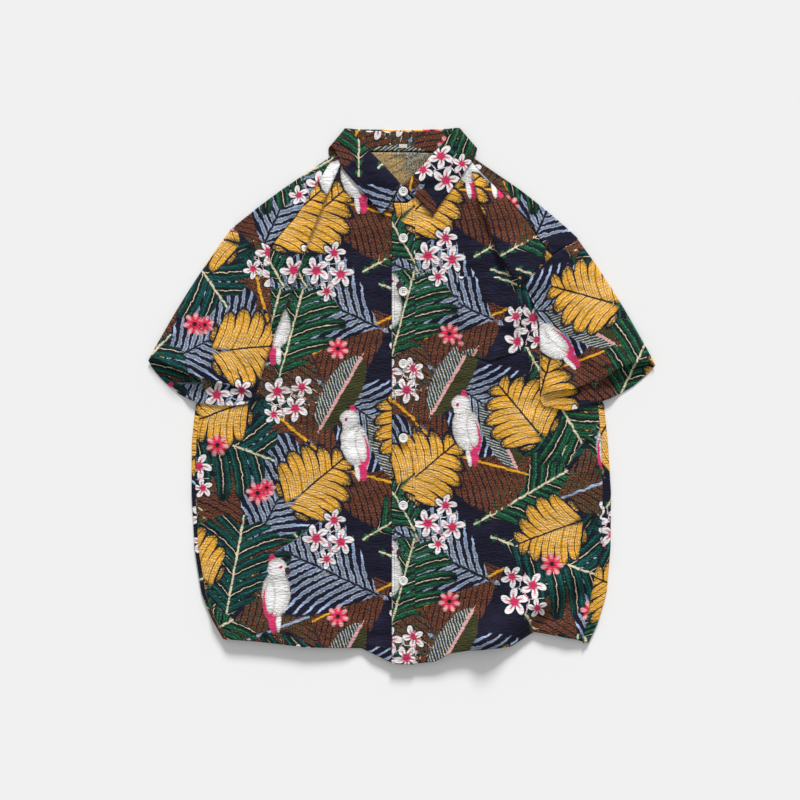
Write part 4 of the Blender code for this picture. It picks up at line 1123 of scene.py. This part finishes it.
@dataclass(frozen=True)
class PrintedCrinkleCotton:
    """Plain-weave cotton, screen printed and crinkled: matt, with a faint bloom of lifted fibres.

    The inks sink in, so the print is as matt as the cloth; the crinkle catches the light in short ripples.
    Inks are sRGB. Ripples are 7.5 mm long and 2.4 mm high. The weave of 0.3 mm is drawn at 1.1 mm, to show.
    """

    ground: str = "#131226"
    ground_light: str = "#221f3c"
    gold: str = "#dc9f24"
    amber: str = "#a8651c"
    cream: str = "#e6d8b6"
    vein: str = "#241b1c"
    green: str = "#124630"
    green_light: str = "#2f8052"
    teal: str = "#093c3a"
    teal_light: str = "#146a60"
    leaf_shade: str = "#0a1116"
    palm: str = "#65779b"
    palm_light: str = "#a9bcdc"
    khaki: str = "#7b7a66"
    brown: str = "#4a2e1c"
    rust: str = "#8a4a34"
    olive: str = "#3f3f20"
    pale_blue: str = "#97abc9"
    rose: str = "#d9a3a0"
    white: str = "#e6e4e4"
    pink: str = "#cf3568"
    magenta: str = "#c02c59"
    red: str = "#d92d52"
    beak: str = "#3a2a30"
    reverse: str = "#b0a586"
    reverse_dark: str = "#4f483a"
    ripple: tuple[float, float] = (0.0075, 0.0024)
    weave: float = 0.0011
    speckle: float = 0.0022
    wobble: float = 0.0090
    wobble_height: float = 0.022

    def gold_leaf(self, g: Graph, spot: Spot) -> Value:
        """Split leaf: a heart about its base, cut by slits that sweep forward between dark veins."""
        under, x, y, inside, other, dots = spot
        side = abs(y)
        radius = (x * x + y * y) ** 0.5
        turn = g.add("ShaderNodeMath", {"operation": "ARCTAN2"}, side, x)
        reach = x / radius * 0.24 + 0.58 + g.edge(turn, 0.40, 0.0) * 0.16
        out = radius / reach
        leaf = g.edge(turn, 3.12, 2.80)
        line = g.from_line(x - side * 0.80 + side * side * 0.55, 3.6)
        lobe = out + line * line * 0.90
        slit = g.edge(line + g.edge(out, 0.42, 1.05) * 0.085, 0.475, 0.51)
        vein = g.edge(line, 0.040, 0.014) | g.edge(side, 0.022, 0.010)
        streak = g.from_line(x - side * 0.80 + side * side * 0.55, 20.0)
        light = g.edge(streak, 0.24, 0.10) & g.edge(dots + g.edge(out, 1.0, 0.2) * 0.12, 0.52, 0.64)
        dark = g.edge(streak, 0.42, 0.48) & g.edge(dots, 0.52, 0.40) & g.edge(out, 0.20, 0.50)
        ink = g.over(linear(self.gold), linear(self.cream), light)
        ink = g.over(ink, linear(self.amber), dark * 0.8)
        ink = g.over(ink, linear(self.olive), g.edge(lobe, 0.98, 1.10) & g.edge(dots, 0.58, 0.48))
        ink = g.over(ink, linear(self.olive), other & g.edge(out, 0.55, 0.15) & g.edge(dots, 0.56, 0.46))
        ink = g.over(ink, linear(self.vein), vein)
        under = g.over(under, linear(self.ground), leaf & g.edge(lobe, 1.22, 1.16) & inside)
        return g.over(under, ink, leaf & g.edge(lobe, 1.14, 1.09) & ~slit & inside)

    def palm_leaf(self, g: Graph, spot: Spot) -> Value:
        """Feather palm: thin leaflets that leave a dark midrib forwards, curve out and taper off."""
        under, x, y, inside, _, dots = spot
        side = abs(y)
        along = x - side * 0.98 + side * side * 0.75
        line = g.from_line(along, 12.0)
        half = (along * ~along | 0.0) ** 0.5 * 1.02 + 0.02
        gone = side / half
        leaflet = g.edge(line + gone * 0.24, 0.37, 0.31) & g.edge(gone, 1.0, 0.94)
        rib = g.edge(side, 0.014, 0.007) & g.edge(x, -0.06, 0.0) & g.edge(x, 1.02, 0.98)
        pale = g.edge(line, 0.06, 0.20) | g.edge(gone, 0.55, 0.85)
        ink = g.over(linear(self.palm), linear(self.palm_light), pale)
        ink = g.over(ink, linear(self.khaki), g.edge(dots, 0.48, 0.58) & g.edge(gone, 0.75, 0.35))
        outline = g.edge(gone, 1.06, 1.0) & g.edge(along, -0.02, 0.0) & inside
        under = g.over(under, linear(self.ground), outline)
        ink = g.over(ink, linear(self.ground), rib)
        return g.over(under, ink, (leaflet | rib) & inside)

    def fan_leaf(self, g: Graph, spot: Spot) -> Value:
        """Broad dark leaf in lobes: near black, brushed with green or teal, with thin cream veins."""
        under, x, y, inside, other, dots = spot
        side = abs(y)
        along = x - side * 0.85 + side * side * 0.55
        line = g.from_line(along, 4.3)
        half = (along * ~along | 0.0) ** 0.5 * 1.16 + 0.05
        gone = side / half
        cut = line + gone * gone * gone * 0.30
        leaflet = g.edge(cut, 0.50, 0.46) & g.edge(gone, 1.0, 0.95)
        mid = g.over(linear(self.green), linear(self.teal), other)
        pale = g.over(linear(self.green_light), linear(self.teal_light), other)
        streak = g.from_line(along, 24.0)
        brushed = g.edge(streak, 0.32, 0.16) & g.edge(dots, 0.44, 0.58)
        ink = g.over(linear(self.leaf_shade), mid, g.edge(line, 0.08, 0.26) & g.edge(cut, 0.46, 0.34))
        ink = g.over(ink, pale, brushed & g.edge(line, 0.16, 0.26) & g.edge(cut, 0.46, 0.40))
        ink = g.over(ink, linear(self.leaf_shade), g.edge(streak, 0.42, 0.47) & g.edge(dots, 0.55, 0.45))
        vein = (g.edge(line, 0.030, 0.012) & g.edge(gone, 0.85, 0.60)) | g.edge(side, 0.014, 0.007)
        ink = g.over(ink, linear(self.cream), vein * 0.85)
        return g.over(under, ink, leaflet & inside)

    def feather(self, g: Graph, spot: Spot) -> Value:
        """Large brown frond: close leaflets hatched with rust, dark between, on a long gold midrib."""
        under, x, y, inside, other, dots = spot
        side = abs(y)
        along = x - side * 0.92 + side * side * 0.60
        line = g.from_line(along, 15.0)
        half = (along * ~along | 0.0) ** 0.5 * 0.92 + 0.01
        gone = side / half
        blade = g.edge(line + gone * gone * 0.14, 0.50, 0.44) & g.edge(gone, 1.0, 0.94)
        hatch = g.from_line(x + side * 0.4, 42.0)
        hatched = g.edge(hatch, 0.34, 0.20) & g.edge(dots, 0.42, 0.56)
        ink = g.over(linear(self.brown), linear(self.rust), hatched)
        ink = g.over(ink, linear(self.green), other & g.edge(line, 0.20, 0.10) & g.edge(dots, 0.55, 0.45))
        dark = g.edge(line, 0.33, 0.43) | (g.edge(line, 0.06, 0.03) & g.edge(dots, 0.5, 0.6))
        ink = g.over(ink, linear(self.vein), dark)
        rib = g.over(linear(self.gold), linear(self.pale_blue), other)
        ink = g.over(ink, rib, g.edge(side, 0.014, 0.007))
        return g.over(under, ink, (blade | (g.edge(side, 0.014, 0.007) & g.edge(x, -0.02, 0.0))) & inside)

    def banana_leaf(self, g: Graph, spot: Spot) -> Value:
        """Banana leaf: an olive blade, one half combed with cream and blue lines, and a rose midrib."""
        under, x, y, inside, _, dots = spot
        side = abs(y)
        half = (x * ~x | 0.0) ** 0.5 * 0.42 + 0.004
        line = g.from_line(x - side * 0.95, 21.0)
        blade = g.edge(side / half, 1.02, 0.95)
        combed = g.edge(line, 0.22, 0.10) & g.edge(y, -0.005, 0.010)
        ink = g.over(linear(self.olive), linear(self.pale_blue), combed)
        ink = g.over(ink, linear(self.cream), combed & g.edge(dots, 0.50, 0.60))
        ink = g.over(ink, linear(self.leaf_shade), g.edge(line, 0.12, 0.05) & g.edge(y, 0.005, -0.010))
        ink = g.over(ink, linear(self.rose), g.edge(side, 0.024, 0.013))
        return g.over(under, ink, blade & inside)

    def bird(self, g: Graph, spot: Spot) -> Value:
        """A perched parrot made of ovals: pale body and head, rose wing and tail, dark beak."""
        under, x, y, inside, _, dots = spot
        place = g.add("ShaderNodeCombineXYZ", {}, x, y, 0.0)
        ovals = (  # centre, half sizes, ink
            ((-0.38, 0.03), (0.20, 0.075), self.pink), ((-0.42, -0.05), (0.15, 0.040), self.white),
            ((0.02, -0.01), (0.34, 0.215), self.white), ((0.53, 0.05), (0.10, 0.050), self.pink),
            ((0.40, -0.03), (0.16, 0.150), self.white), ((-0.10, 0.10), (0.27, 0.095), self.pink),
            ((-0.02, 0.075), (0.26, 0.085), self.white), ((0.36, -0.185), (0.060, 0.040), self.beak),
            ((0.42, -0.080), (0.026, 0.026), self.magenta),
        )
        ink = under
        for centre, size, colour in ovals:
            scale = (1 / size[0], 1 / size[1], 0.0)
            shift = (-centre[0] / size[0], -centre[1] / size[1], 0.0)
            local = g.add("ShaderNodeVectorMath", {"operation": "MULTIPLY_ADD"}, place, scale, shift)
            away = g.add("ShaderNodeVectorMath", {"operation": "LENGTH"}, local, out=1)
            ink = g.over(ink, linear(colour), g.edge(away, 1.05, 0.92) & inside)
            if colour == self.white:
                shade = g.edge(away, 0.55, 1.0) & g.edge(dots, 0.42, 0.58) & g.edge(away, 1.05, 0.92) & inside
                ink = g.over(ink, linear(self.khaki), shade * 0.8)
        return ink

    def flower(self, g: Graph, spot: Spot) -> Value:
        """Plumeria: five long oval petals with a dark outline, flushed from a magenta centre."""
        under, x, y, inside, _, dots = spot
        radius = (x * x + y * y) ** 0.5
        turn = g.add("ShaderNodeMath", {"operation": "ARCTAN2"}, y, x) + radius * 0.35
        petal = abs(g.add("ShaderNodeMath", {"operation": "SINE"}, turn * 2.5))
        out = radius / (petal * 0.74 + 0.24)
        shade = g.edge(petal, 0.55, 0.30) & g.edge(dots, 0.60, 0.45)
        ink = g.over(linear(self.white), linear(self.khaki), shade)
        ink = g.over(ink, linear(self.magenta), g.edge(petal, 0.90, 0.995) & g.edge(radius, 0.72, 0.40))
        ink = g.over(ink, linear(self.magenta), g.edge(radius - petal * 0.10, 0.30, 0.18))
        ink = g.over(ink, linear(self.leaf_shade), g.edge(out, 0.93, 1.0))
        return g.over(under, ink, g.edge(out, 1.12, 1.04) & inside)

    def floret(self, g: Graph, spot: Spot) -> Value:
        """A small red blossom with a ragged edge and a dark eye."""
        under, x, y, inside, *_ = spot
        radius = (x * x + y * y) ** 0.5
        turn = g.add("ShaderNodeMath", {"operation": "ARCTAN2"}, y, x)
        petal = abs(g.add("ShaderNodeMath", {"operation": "SINE"}, turn * 3.5))
        bloom = g.edge(radius / (petal * 0.40 + 0.65), 1.0, 0.85)
        tips = g.edge(radius, 0.35, 0.60) & g.edge(petal, 0.6, 0.9)
        ink = g.over(linear(self.red), linear(self.rose), tips)
        ink = g.over(ink, linear(self.vein), g.edge(radius, 0.26, 0.14))
        return g.over(under, ink, bloom & inside)

    def waver(self, g: Graph, place: Value) -> Value:
        """How far a brushed line strays from its course."""
        noise = g.add("ShaderNodeTexNoise", {}, place, None, 1 / self.wobble, 2.0, 0.6)
        return (noise - 0.5) * self.wobble_height * 2

    def material(self) -> bpy.types.Material:
        """The cloth, with its print drawn from the bottom layer up."""
        g = Graph("printed_crinkle_cotton")
        place = g.add("ShaderNodeAttribute", {"attribute_name": "cloth"}, out=1)
        flat = g.add("ShaderNodeVectorMath", {"operation": "MULTIPLY"}, place, (1.0, 1.0, 0.0))
        dots = g.add("ShaderNodeTexNoise", {}, flat, None, 1 / self.speckle, 3.0, 0.6)
        blots = g.add("ShaderNodeTexNoise", {}, flat, None, 1 / 0.030, 2.0, 0.5)
        beside = g.add("ShaderNodeVectorMath", {"operation": "ADD"}, flat, (3.7, 1.9, 0.0))
        wave_x, wave_y = self.waver(g, flat), self.waver(g, beside)
        ink = g.over(linear(self.ground), linear(self.ground_light), g.edge(blots, 0.50, 0.72) * 0.6)
        drawings = {Motif.FEATHER: self.feather, Motif.FAN: self.fan_leaf, Motif.BANANA: self.banana_leaf,
                    Motif.PALM: self.palm_leaf, Motif.GOLD: self.gold_leaf, Motif.FLOWER: self.flower,
                    Motif.BIRD: self.bird, Motif.FLORET: self.floret}
        order = ((Motif.FAN, 1), (Motif.FEATHER, 0), (Motif.PALM, 0), (Motif.FAN, 0), (Motif.BANANA, 0),
                 (Motif.GOLD, 0), (Motif.FLOWER, 0), (Motif.BIRD, 0), (Motif.FLORET, 0))
        for motif, number in order:
            local = g.add("ShaderNodeAttribute", {"attribute_name": f"{motif.title}_{number}"}, out=1)
            x = g.add("ShaderNodeSeparateXYZ", {}, local) + wave_x
            y = g.add("ShaderNodeSeparateXYZ", {}, local, out=1) + wave_y
            sign = g.add("ShaderNodeSeparateXYZ", {}, local, out=2)
            inside, other = g.edge(abs(sign), 0.35, 0.65), g.edge(sign, -0.05, -0.30)
            ink = drawings[motif](g, Spot(ink, x, y, inside, other, dots))
        back = g.add("ShaderNodeSeparateXYZ", {}, place, out=2)
        wrong_side = g.over(linear(self.reverse), linear(self.reverse_dark), g.edge(dots, 0.44, 0.56))
        wrong_side = g.over(wrong_side, ink, 0.30)
        ink = g.over(ink, wrong_side, g.edge(back, 0.4, 0.6))
        worn = g.over(ink, linear(self.pale_blue), g.edge(dots, 0.60, 0.80) * 0.08)
        stretch = (1 / self.ripple[0], 1 / self.ripple[1], 0.0)
        drawn_out = g.add("ShaderNodeVectorMath", {"operation": "MULTIPLY"}, flat, stretch)
        ripples = g.add("ShaderNodeTexNoise", {}, drawn_out, None, 1.0, 2.0, 0.55)
        threads = g.add("ShaderNodeTexNoise", {}, flat, None, 1 / self.weave, 1.0, 0.5)
        relief = g.add("ShaderNodeBump", {}, 1.0, 0.0021, None, ripples + threads * 0.18)
        rough = g.edge(dots, 0.3, 0.7) * 0.10 + 0.78
        return g.finish(Base_Color=worn, Roughness=rough, Normal=relief, Specular_IOR_Level=0.18,
                        Sheen_Weight=0.03, Sheen_Roughness=0.45)


@dataclass(frozen=True)
class ButtonResin:
    """Cast polyester resin, turned and tumbled: milky with faint swirls and a soft gloss."""

    milk: str = "#ece9e4"
    smoke: str = "#cdc7bf"
    swirl: float = 0.004

    def material(self) -> bpy.types.Material:
        """Swirls of 4 mm between milk and smoke."""
        g = Graph("cast_polyester_resin")
        place = g.add("ShaderNodeTexCoord", {}, out=3)
        swirls = g.add("ShaderNodeTexNoise", {}, place, None, 1 / self.swirl, 3.0, 0.6, None, 1.2)
        ink = g.over(linear(self.milk), linear(self.smoke), g.edge(swirls, 0.45, 0.75))
        return g.finish(Base_Color=ink, Roughness=g.edge(swirls, 0.2, 0.8) * 0.12 + 0.24, IOR=1.54,
                        Coat_Weight=0.25, Coat_Roughness=0.15, Subsurface_Weight=0.05)


@dataclass(frozen=True)
class Thread:
    """Spun polyester sewing thread, matt with a slight lustre, in the dye of the print's ground."""

    name: str
    dye: str
    fibre: float = 0.0006

    def material(self) -> bpy.types.Material:
        """Dye with a fibre mottle of 0.6 mm."""
        g = Graph(self.name)
        place = g.add("ShaderNodeTexCoord", {}, out=3)
        fibres = g.add("ShaderNodeTexNoise", {}, place, None, 1 / self.fibre, 2.0, 0.5)
        shade = linear(self.dye)
        darker = (shade[0] * 0.5, shade[1] * 0.5, shade[2] * 0.5, 1.0)
        return g.finish(Base_Color=g.over(shade, darker, fibres), Roughness=fibres * 0.2 + 0.55, IOR=1.5,
                        Sheen_Weight=0.3)


@dataclass(frozen=True)
class LabelTape:
    """Woven satin tape in polyester: off-white with a fine rib across, its ribs drawn in colour as stripes of
    painted shade.
    """

    dye: str = "#d8d3c8"
    # shade is the darker colour of the painted shade across the ribs
    shade: str = "#a39c8e"
    rib: float = 0.0008

    def material(self) -> bpy.types.Material:
        """Ribs of 0.8 mm, drawn as darker stripes of painted shade."""
        g = Graph("woven_satin_tape")
        place = g.add("ShaderNodeTexCoord", {}, out=3)
        along = g.add("ShaderNodeSeparateXYZ", {}, place, out=1)
        ribs = g.from_line(along, 1 / self.rib)
        specks = g.add("ShaderNodeTexNoise", {}, place, None, 1 / self.rib, 2.0, 0.5)
        # painted shade: darker stripes between the rib lines, mottled by the specks
        ink = g.over(linear(self.dye), linear(self.shade), g.edge(ribs + specks * 0.2, 0.3, 0.6) * 0.6)
        return g.finish(Base_Color=ink, Roughness=specks * 0.2 + 0.4, IOR=1.5, Sheen_Weight=0.2)


@dataclass(frozen=True)
class StudioPaper:
    """Matt paper sweep under the shirt: near white, with no gloss."""

    tone: str = "#f0f0f0"
    grain: float = 0.02

    def material(self) -> bpy.types.Material:
        """A very faint grain of 20 mm."""
        g = Graph("matt_background_paper")
        place = g.add("ShaderNodeTexCoord", {}, out=3)
        grain = g.add("ShaderNodeTexNoise", {}, place, None, 1 / self.grain, 2.0, 0.5)
        ink = g.over(linear(self.tone), linear("#ececec"), grain * 0.3)
        return g.finish(Base_Color=ink, Roughness=0.95, Specular_IOR_Level=0.1)


# --------------------------------------------------------------------------------------------------
# Buttons, stitches and label
# --------------------------------------------------------------------------------------------------


@dataclass
class Button:
    """A four-hole resin button, turned with a raised rim, over its CAD node, with its sewing thread."""

    node: str
    radius: float = 0.00625
    thickness: float = 0.0024
    rim: float = 0.0013
    dish: float = 0.0006
    hole_radius: float = 0.00075
    hole_spacing: float = 0.00125
    rings: int = 44
    sides: int = 72

    def place(self) -> Array:
        """Middle of the CAD button."""
        low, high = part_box(self.node)
        return (np.array(low) + np.array(high)) / 2

    def build(self, resin: bpy.types.Material) -> bpy.types.Object:
        """A disc on polar rings: its top dips inside the rim, and the four holes are deep round wells.

        The edge follows a half round of the button's thickness; top and bottom are grids of ring by angle.
        """
        share = np.linspace(0.0, 1.0, self.rings)[:, None]
        angle = np.linspace(0.0, 2 * math.pi, self.sides, endpoint=False)[None, :]
        r = (share * self.radius) * np.ones_like(angle)
        x, y = r * np.cos(angle), r * np.sin(angle)
        edge = np.clip((r - self.radius + self.thickness / 2) / (self.thickness / 2), 0.0, 1.0)
        half = self.thickness / 2 * np.sqrt(np.maximum(1 - edge**2, 0.0) * 0.75 + 0.25 * (edge < 1))
        dish = self.dish * (1 - smoothstep((r - self.radius + self.rim + 0.0008) / 0.0008))
        holes = np.zeros_like(r)
        floor, slope = self.hole_radius * 0.8, self.hole_radius * 0.4
        for sx in (-1, 1):
            for sy in (-1, 1):
                away = np.hypot(x - sx * self.hole_spacing, y - sy * self.hole_spacing)
                holes = np.maximum(holes, 1 - smoothstep((away - floor) / slope))
        top = np.stack([x, y, half - dish - holes * self.thickness * 0.6], axis=-1)
        bottom = np.stack([x, y, -half], axis=-1)[::-1]
        turned = np.concatenate([top, bottom[1:]])
        rows, columns = turned.shape[:2]
        index = np.arange(rows * columns).reshape(rows, columns)
        after = np.roll(index, -1, axis=1)
        faces = np.stack([index[:-1], index[1:], after[1:], after[:-1]], axis=-1).reshape(-1, 4)
        thing = new_object(f"{self.node}_turned", turned.reshape(-1, 3) + self.place(), faces, resin)
        weld(thing)
        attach(thing, BODY)
        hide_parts(self.node)
        return thing

    def thread_paths(self) -> list[tuple[Array, Array]]:
        """Two bars of thread, each from hole to hole, as start and end points."""
        place = self.place() + (0.0, 0.0, self.thickness / 2 - self.dish + 0.0002)
        s = self.hole_spacing
        return [(place + (-s, side * s, 0.0), place + (s, side * s, 0.0)) for side in (-1, 1)]


def weld(thing: bpy.types.Object) -> None:
    """Join points that lie on each other, such as those at a pole."""
    work = bmesh.new()
    work.from_mesh(thing.data)
    bmesh.ops.remove_doubles(work, verts=work.verts, dist=1e-6)
    bmesh.ops.recalc_face_normals(work, faces=work.faces)
    work.to_mesh(thing.data)
    work.free()
    thing.data.shade_smooth()


@dataclass
class Stitches:
    """Sewn lines as one joined mesh, each stitch a short spindle of thread lying on the cloth."""

    name: str
    pitch: float = 0.0032
    length: float = 0.0024
    width: float = 0.00045
    runs: list[tuple[Array, Array]] = field(default_factory=list)

    def along(self, path: Array) -> None:
        """Lay stitches along a path of (n, 3) points, one every pitch."""
        step = np.linalg.norm(np.diff(path, axis=0), axis=1)
        length = np.concatenate([[0.0], np.cumsum(step)])
        centres = np.arange(self.pitch / 2, length[-1], self.pitch)
        ends = [np.stack([np.interp(centres + shift, length, column) for column in path.T], axis=1)
                for shift in (-self.length / 2, self.length / 2)]
        self.runs.append((ends[0], ends[1]))

    def build(self, material: bpy.types.Material) -> bpy.types.Object:
        """Make the spindles: two points, and two rings of four between them."""
        start = np.concatenate([run[0] for run in self.runs])
        end = np.concatenate([run[1] for run in self.runs])
        run = end - start
        run /= np.maximum(np.linalg.norm(run, axis=1, keepdims=True), 1e-9)
        side = np.cross(run, (0.0, 0.0, 1.0))
        side /= np.maximum(np.linalg.norm(side, axis=1, keepdims=True), 1e-9)
        up = np.cross(side, run)
        corners = [side, up, -side, -up]
        low, high = start + (end - start) * 0.22, start + (end - start) * 0.78
        points = np.stack([start, *(low + c * self.width / 2 for c in corners),
                           *(high + c * self.width / 2 for c in corners), end], axis=1)
        after = (1, 2, 3, 0)
        cone = [(0, 1 + i, 1 + after[i]) for i in range(4)]
        wall = [face for i in range(4)
                for face in ((1 + i, 5 + i, 5 + after[i]), (1 + i, 5 + after[i], 1 + after[i]))]
        tip = [(9, 5 + after[i], 5 + i) for i in range(4)]
        template = np.array(cone + wall + tip)
        faces = (template[None] + 10 * np.arange(len(start))[:, None, None]).reshape(-1, 3)
        thing = new_object(self.name, points.reshape(-1, 3), faces, material)
        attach(thing, BODY)
        log.info("%s: %d stitches", self.name, len(start))
        return thing


# --------------------------------------------------------------------------------------------------
# Studio
# --------------------------------------------------------------------------------------------------


@dataclass
class Studio:
    """Pale paper, an even white room, a soft key light beyond the collar, and a camera straight above."""

    centre: tuple[float, float] = (-0.0024, -0.0047)
    camera_height: float = 2.55
    lens: float = 85.0
    room: float = 0.50
    key_energy: float = 3.9
    key_elevation: float = 24.5
    key_heading: float = 84.0
    key_softness: float = 14.0
    paper_size: float = 8.0

    def build(self) -> None:
        """Set the floor, the room, the light and the camera."""
        half = self.paper_size / 2
        corners = np.array([(-half, -half, 0.0), (half, -half, 0.0), (half, half, 0.0), (-half, half, 0.0)])
        paper = new_object("paper", corners, np.array([[0, 1, 2, 3]]), StudioPaper().material())
        scene = bpy.context.scene
        scene.view_settings.view_transform = "Standard"
        scene.world = scene.world or bpy.data.worlds.new("room")
        scene.world.use_nodes = True
        background = scene.world.node_tree.nodes["Background"]
        background.inputs["Color"].default_value = (1.0, 1.0, 1.0, 1.0)
        background.inputs["Strength"].default_value = self.room
        key = bpy.data.lights.new("key", "SUN")
        key.energy = self.key_energy
        key.angle = math.radians(self.key_softness)
        lamp = bpy.data.objects.new("key", key)
        tilt, heading = math.radians(90 - self.key_elevation), math.radians(self.key_heading + 90)
        lamp.rotation_euler = (tilt, 0.0, heading)
        scene.collection.objects.link(lamp)
        eye = bpy.data.cameras.new("camera")
        eye.lens = self.lens
        camera = bpy.data.objects.new("camera", eye)
        camera.location = (*self.centre, self.camera_height)
        scene.collection.objects.link(camera)
        scene.camera = camera


@dataclass
class NeckLabel:
    """Blank label on the inside of the stand, a flat strip of tape."""

    node: str = "neck_label"
    rows: int = 14
    columns: int = 24
    wall: float = 0.0006
    bow: float = 0.0002

    def build(self, tape: bpy.types.Material) -> bpy.types.Object:
        """A grid over the CAD label's box, slightly bowed, as a closed shell."""
        low, high = (np.array(corner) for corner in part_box(self.node))
        plan = np.stack(np.meshgrid(np.linspace(low[0], high[0], self.columns),
                                    np.linspace(low[1], high[1], self.rows)), axis=-1)
        bow = self.bow * np.sin(np.linspace(0.0, math.pi, self.columns))[None, :]
        grid = with_height(plan, (low[2] + high[2]) / 2 + bow)
        offset = grid_normals(grid, False) * self.wall / 2
        points = np.concatenate([(grid + offset).reshape(-1, 3), (grid - offset).reshape(-1, 3)])
        thing = new_object("label_tape_strip", points, shell_faces(self.rows, self.columns, False), tape)
        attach(thing, BODY)
        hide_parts(self.node)
        return thing


@dataclass(frozen=True)
class Cut:
    """What a piece stands for: its CAD node, the rectangle and the area it is cut to, and what it lies on."""

    node: str
    flat: tuple[float, float]
    area: float
    rests_on: tuple[str, ...]


CUTS: dict[str, Cut] = {
    "back_cloth": Cut("back", (0.60, 0.57), 0.2898, ("paper",)),
    "yoke_cloth": Cut("back_yoke", (0.47, 0.16), 0.0514, ("paper",)),
    "front_right_cloth": Cut("front_right", (0.30, 0.69), 0.1562, ("back_cloth",)),
    "front_left_cloth": Cut("front_left", (0.30, 0.69), 0.1560, ("back_cloth",)),
    "sleeve_right_cloth": Cut("sleeve_right", (0.36, 0.19), 0.0396, ("front_right_cloth",)),
    "sleeve_left_cloth": Cut("sleeve_left", (0.36, 0.19), 0.0378, ("front_left_cloth",)),
    "band_cloth": Cut("placket", (0.032, 0.64), 0.0196, ("front_left_cloth",)),
    "pocket_cloth": Cut("pocket", (0.090, 0.125), 0.0092, ("front_left_cloth",)),
    "stand_cloth": Cut("collar_stand", (0.48, 0.045), 0.0105, ("front_right_cloth",)),
    "fall_cloth": Cut("collar_fall", (0.46, 0.075), 0.0200, ("front_right_cloth",)),
}


BAND_MIDDLE = 0.0025
BAND_CLEAR = 0.017  # the hems' stitches stop this far from the band's middle
CUFF_UPPER = 0.0085  # points of a cuff above this height are on its upper sheet


def sew(pieces: dict[str, ClothPiece]) -> Stitches:
    """Lay the visible sewing: band, hems, cuffs, pocket, collar edge and yoke seams."""
    seams = Stitches("sewing_thread")
    band, pocket, fall = pieces["band_cloth"], pieces["pocket_cloth"], pieces["fall_cloth"]
    for piece, rows in ((band, slice(6, -2)), (pocket, slice(2, -1))):
        for column in (2, -3):
            seams.along(piece.line(rows, column))
    seams.along(pocket.line(2, slice(2, -2)))
    seams.along(pocket.line(-13, slice(2, -2)))
    for name in ("front_right_cloth", "front_left_cloth"):
        front = pieces[name]
        row = front.line(8, slice(3, None))
        seams.along(row[np.abs(row[:, 0] - BAND_MIDDLE) > BAND_CLEAR])
    for name in ("sleeve_right_cloth", "sleeve_left_cloth"):
        sleeve = pieces[name]
        ring = sleeve.line(-13, slice(None))
        seams.along(ring[ring[:, 2] > CUFF_UPPER])
    for rows in (slice(2, 62), slice(-64, -2)):
        seams.along(fall.line(rows, -4))
    for column in (2, -3):
        seams.along(pieces["yoke_cloth"].line(slice(6, -2), column))
    return seams


def main() -> None:
    """Build the cloth from the table up, then its trims and the studio."""
    logging.basicConfig(level=logging.INFO, format="%(name)s: %(message)s")
    lie = Lie()
    Studio().build()
    trim, collar = FrontTrim(), Collar()
    pieces = {piece.name: piece for piece in (
        BackPanel().piece(lie), Yoke().piece(lie),
        Front("front_right_cloth", FRONT_RIGHT, Lay(0.02, 0.13)).piece(lie),
        Front("front_left_cloth", FRONT_LEFT, FRONT_LEFT_LAY).piece(lie),
        Sleeve("sleeve_right_cloth", SLEEVE_RIGHT, Lay(0.11, 0.08, 35.0)).piece(lie),
        Sleeve("sleeve_left_cloth", SLEEVE_LEFT, Lay(0.05, 0.30, -35.0)).piece(lie),
        trim.band(lie), trim.pocket(lie), collar.stand(lie), collar.fall(lie))}
    cotton = PrintedCrinkleCotton().material()
    for name, piece in pieces.items():
        cut = CUTS[name]
        thing = piece.build(cotton)
        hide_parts(cut.node)
        log.info("%s surface %.4f, cut %.4f square metres", name, piece.area(), cut.area)
    sew(pieces).build(Thread("spun_polyester_thread", "#2b2740").material())
    resin = ButtonResin().material()
    ties = Stitches("button_thread", pitch=0.0005, length=0.0016, width=0.0005)
    for node in ["button_collar"] + [f"button_{number}" for number in range(1, 7)]:
        button = Button(node)
        button.build(resin)
        for start, end in button.thread_paths():
            ties.runs.append((start[None], end[None]))
        log.info("%s turned", node)
    ties.build(Thread("button_sewing_thread", "#8d8794").material())
    NeckLabel().build(LabelTape().material())


if __name__ == "__main__":
    main()
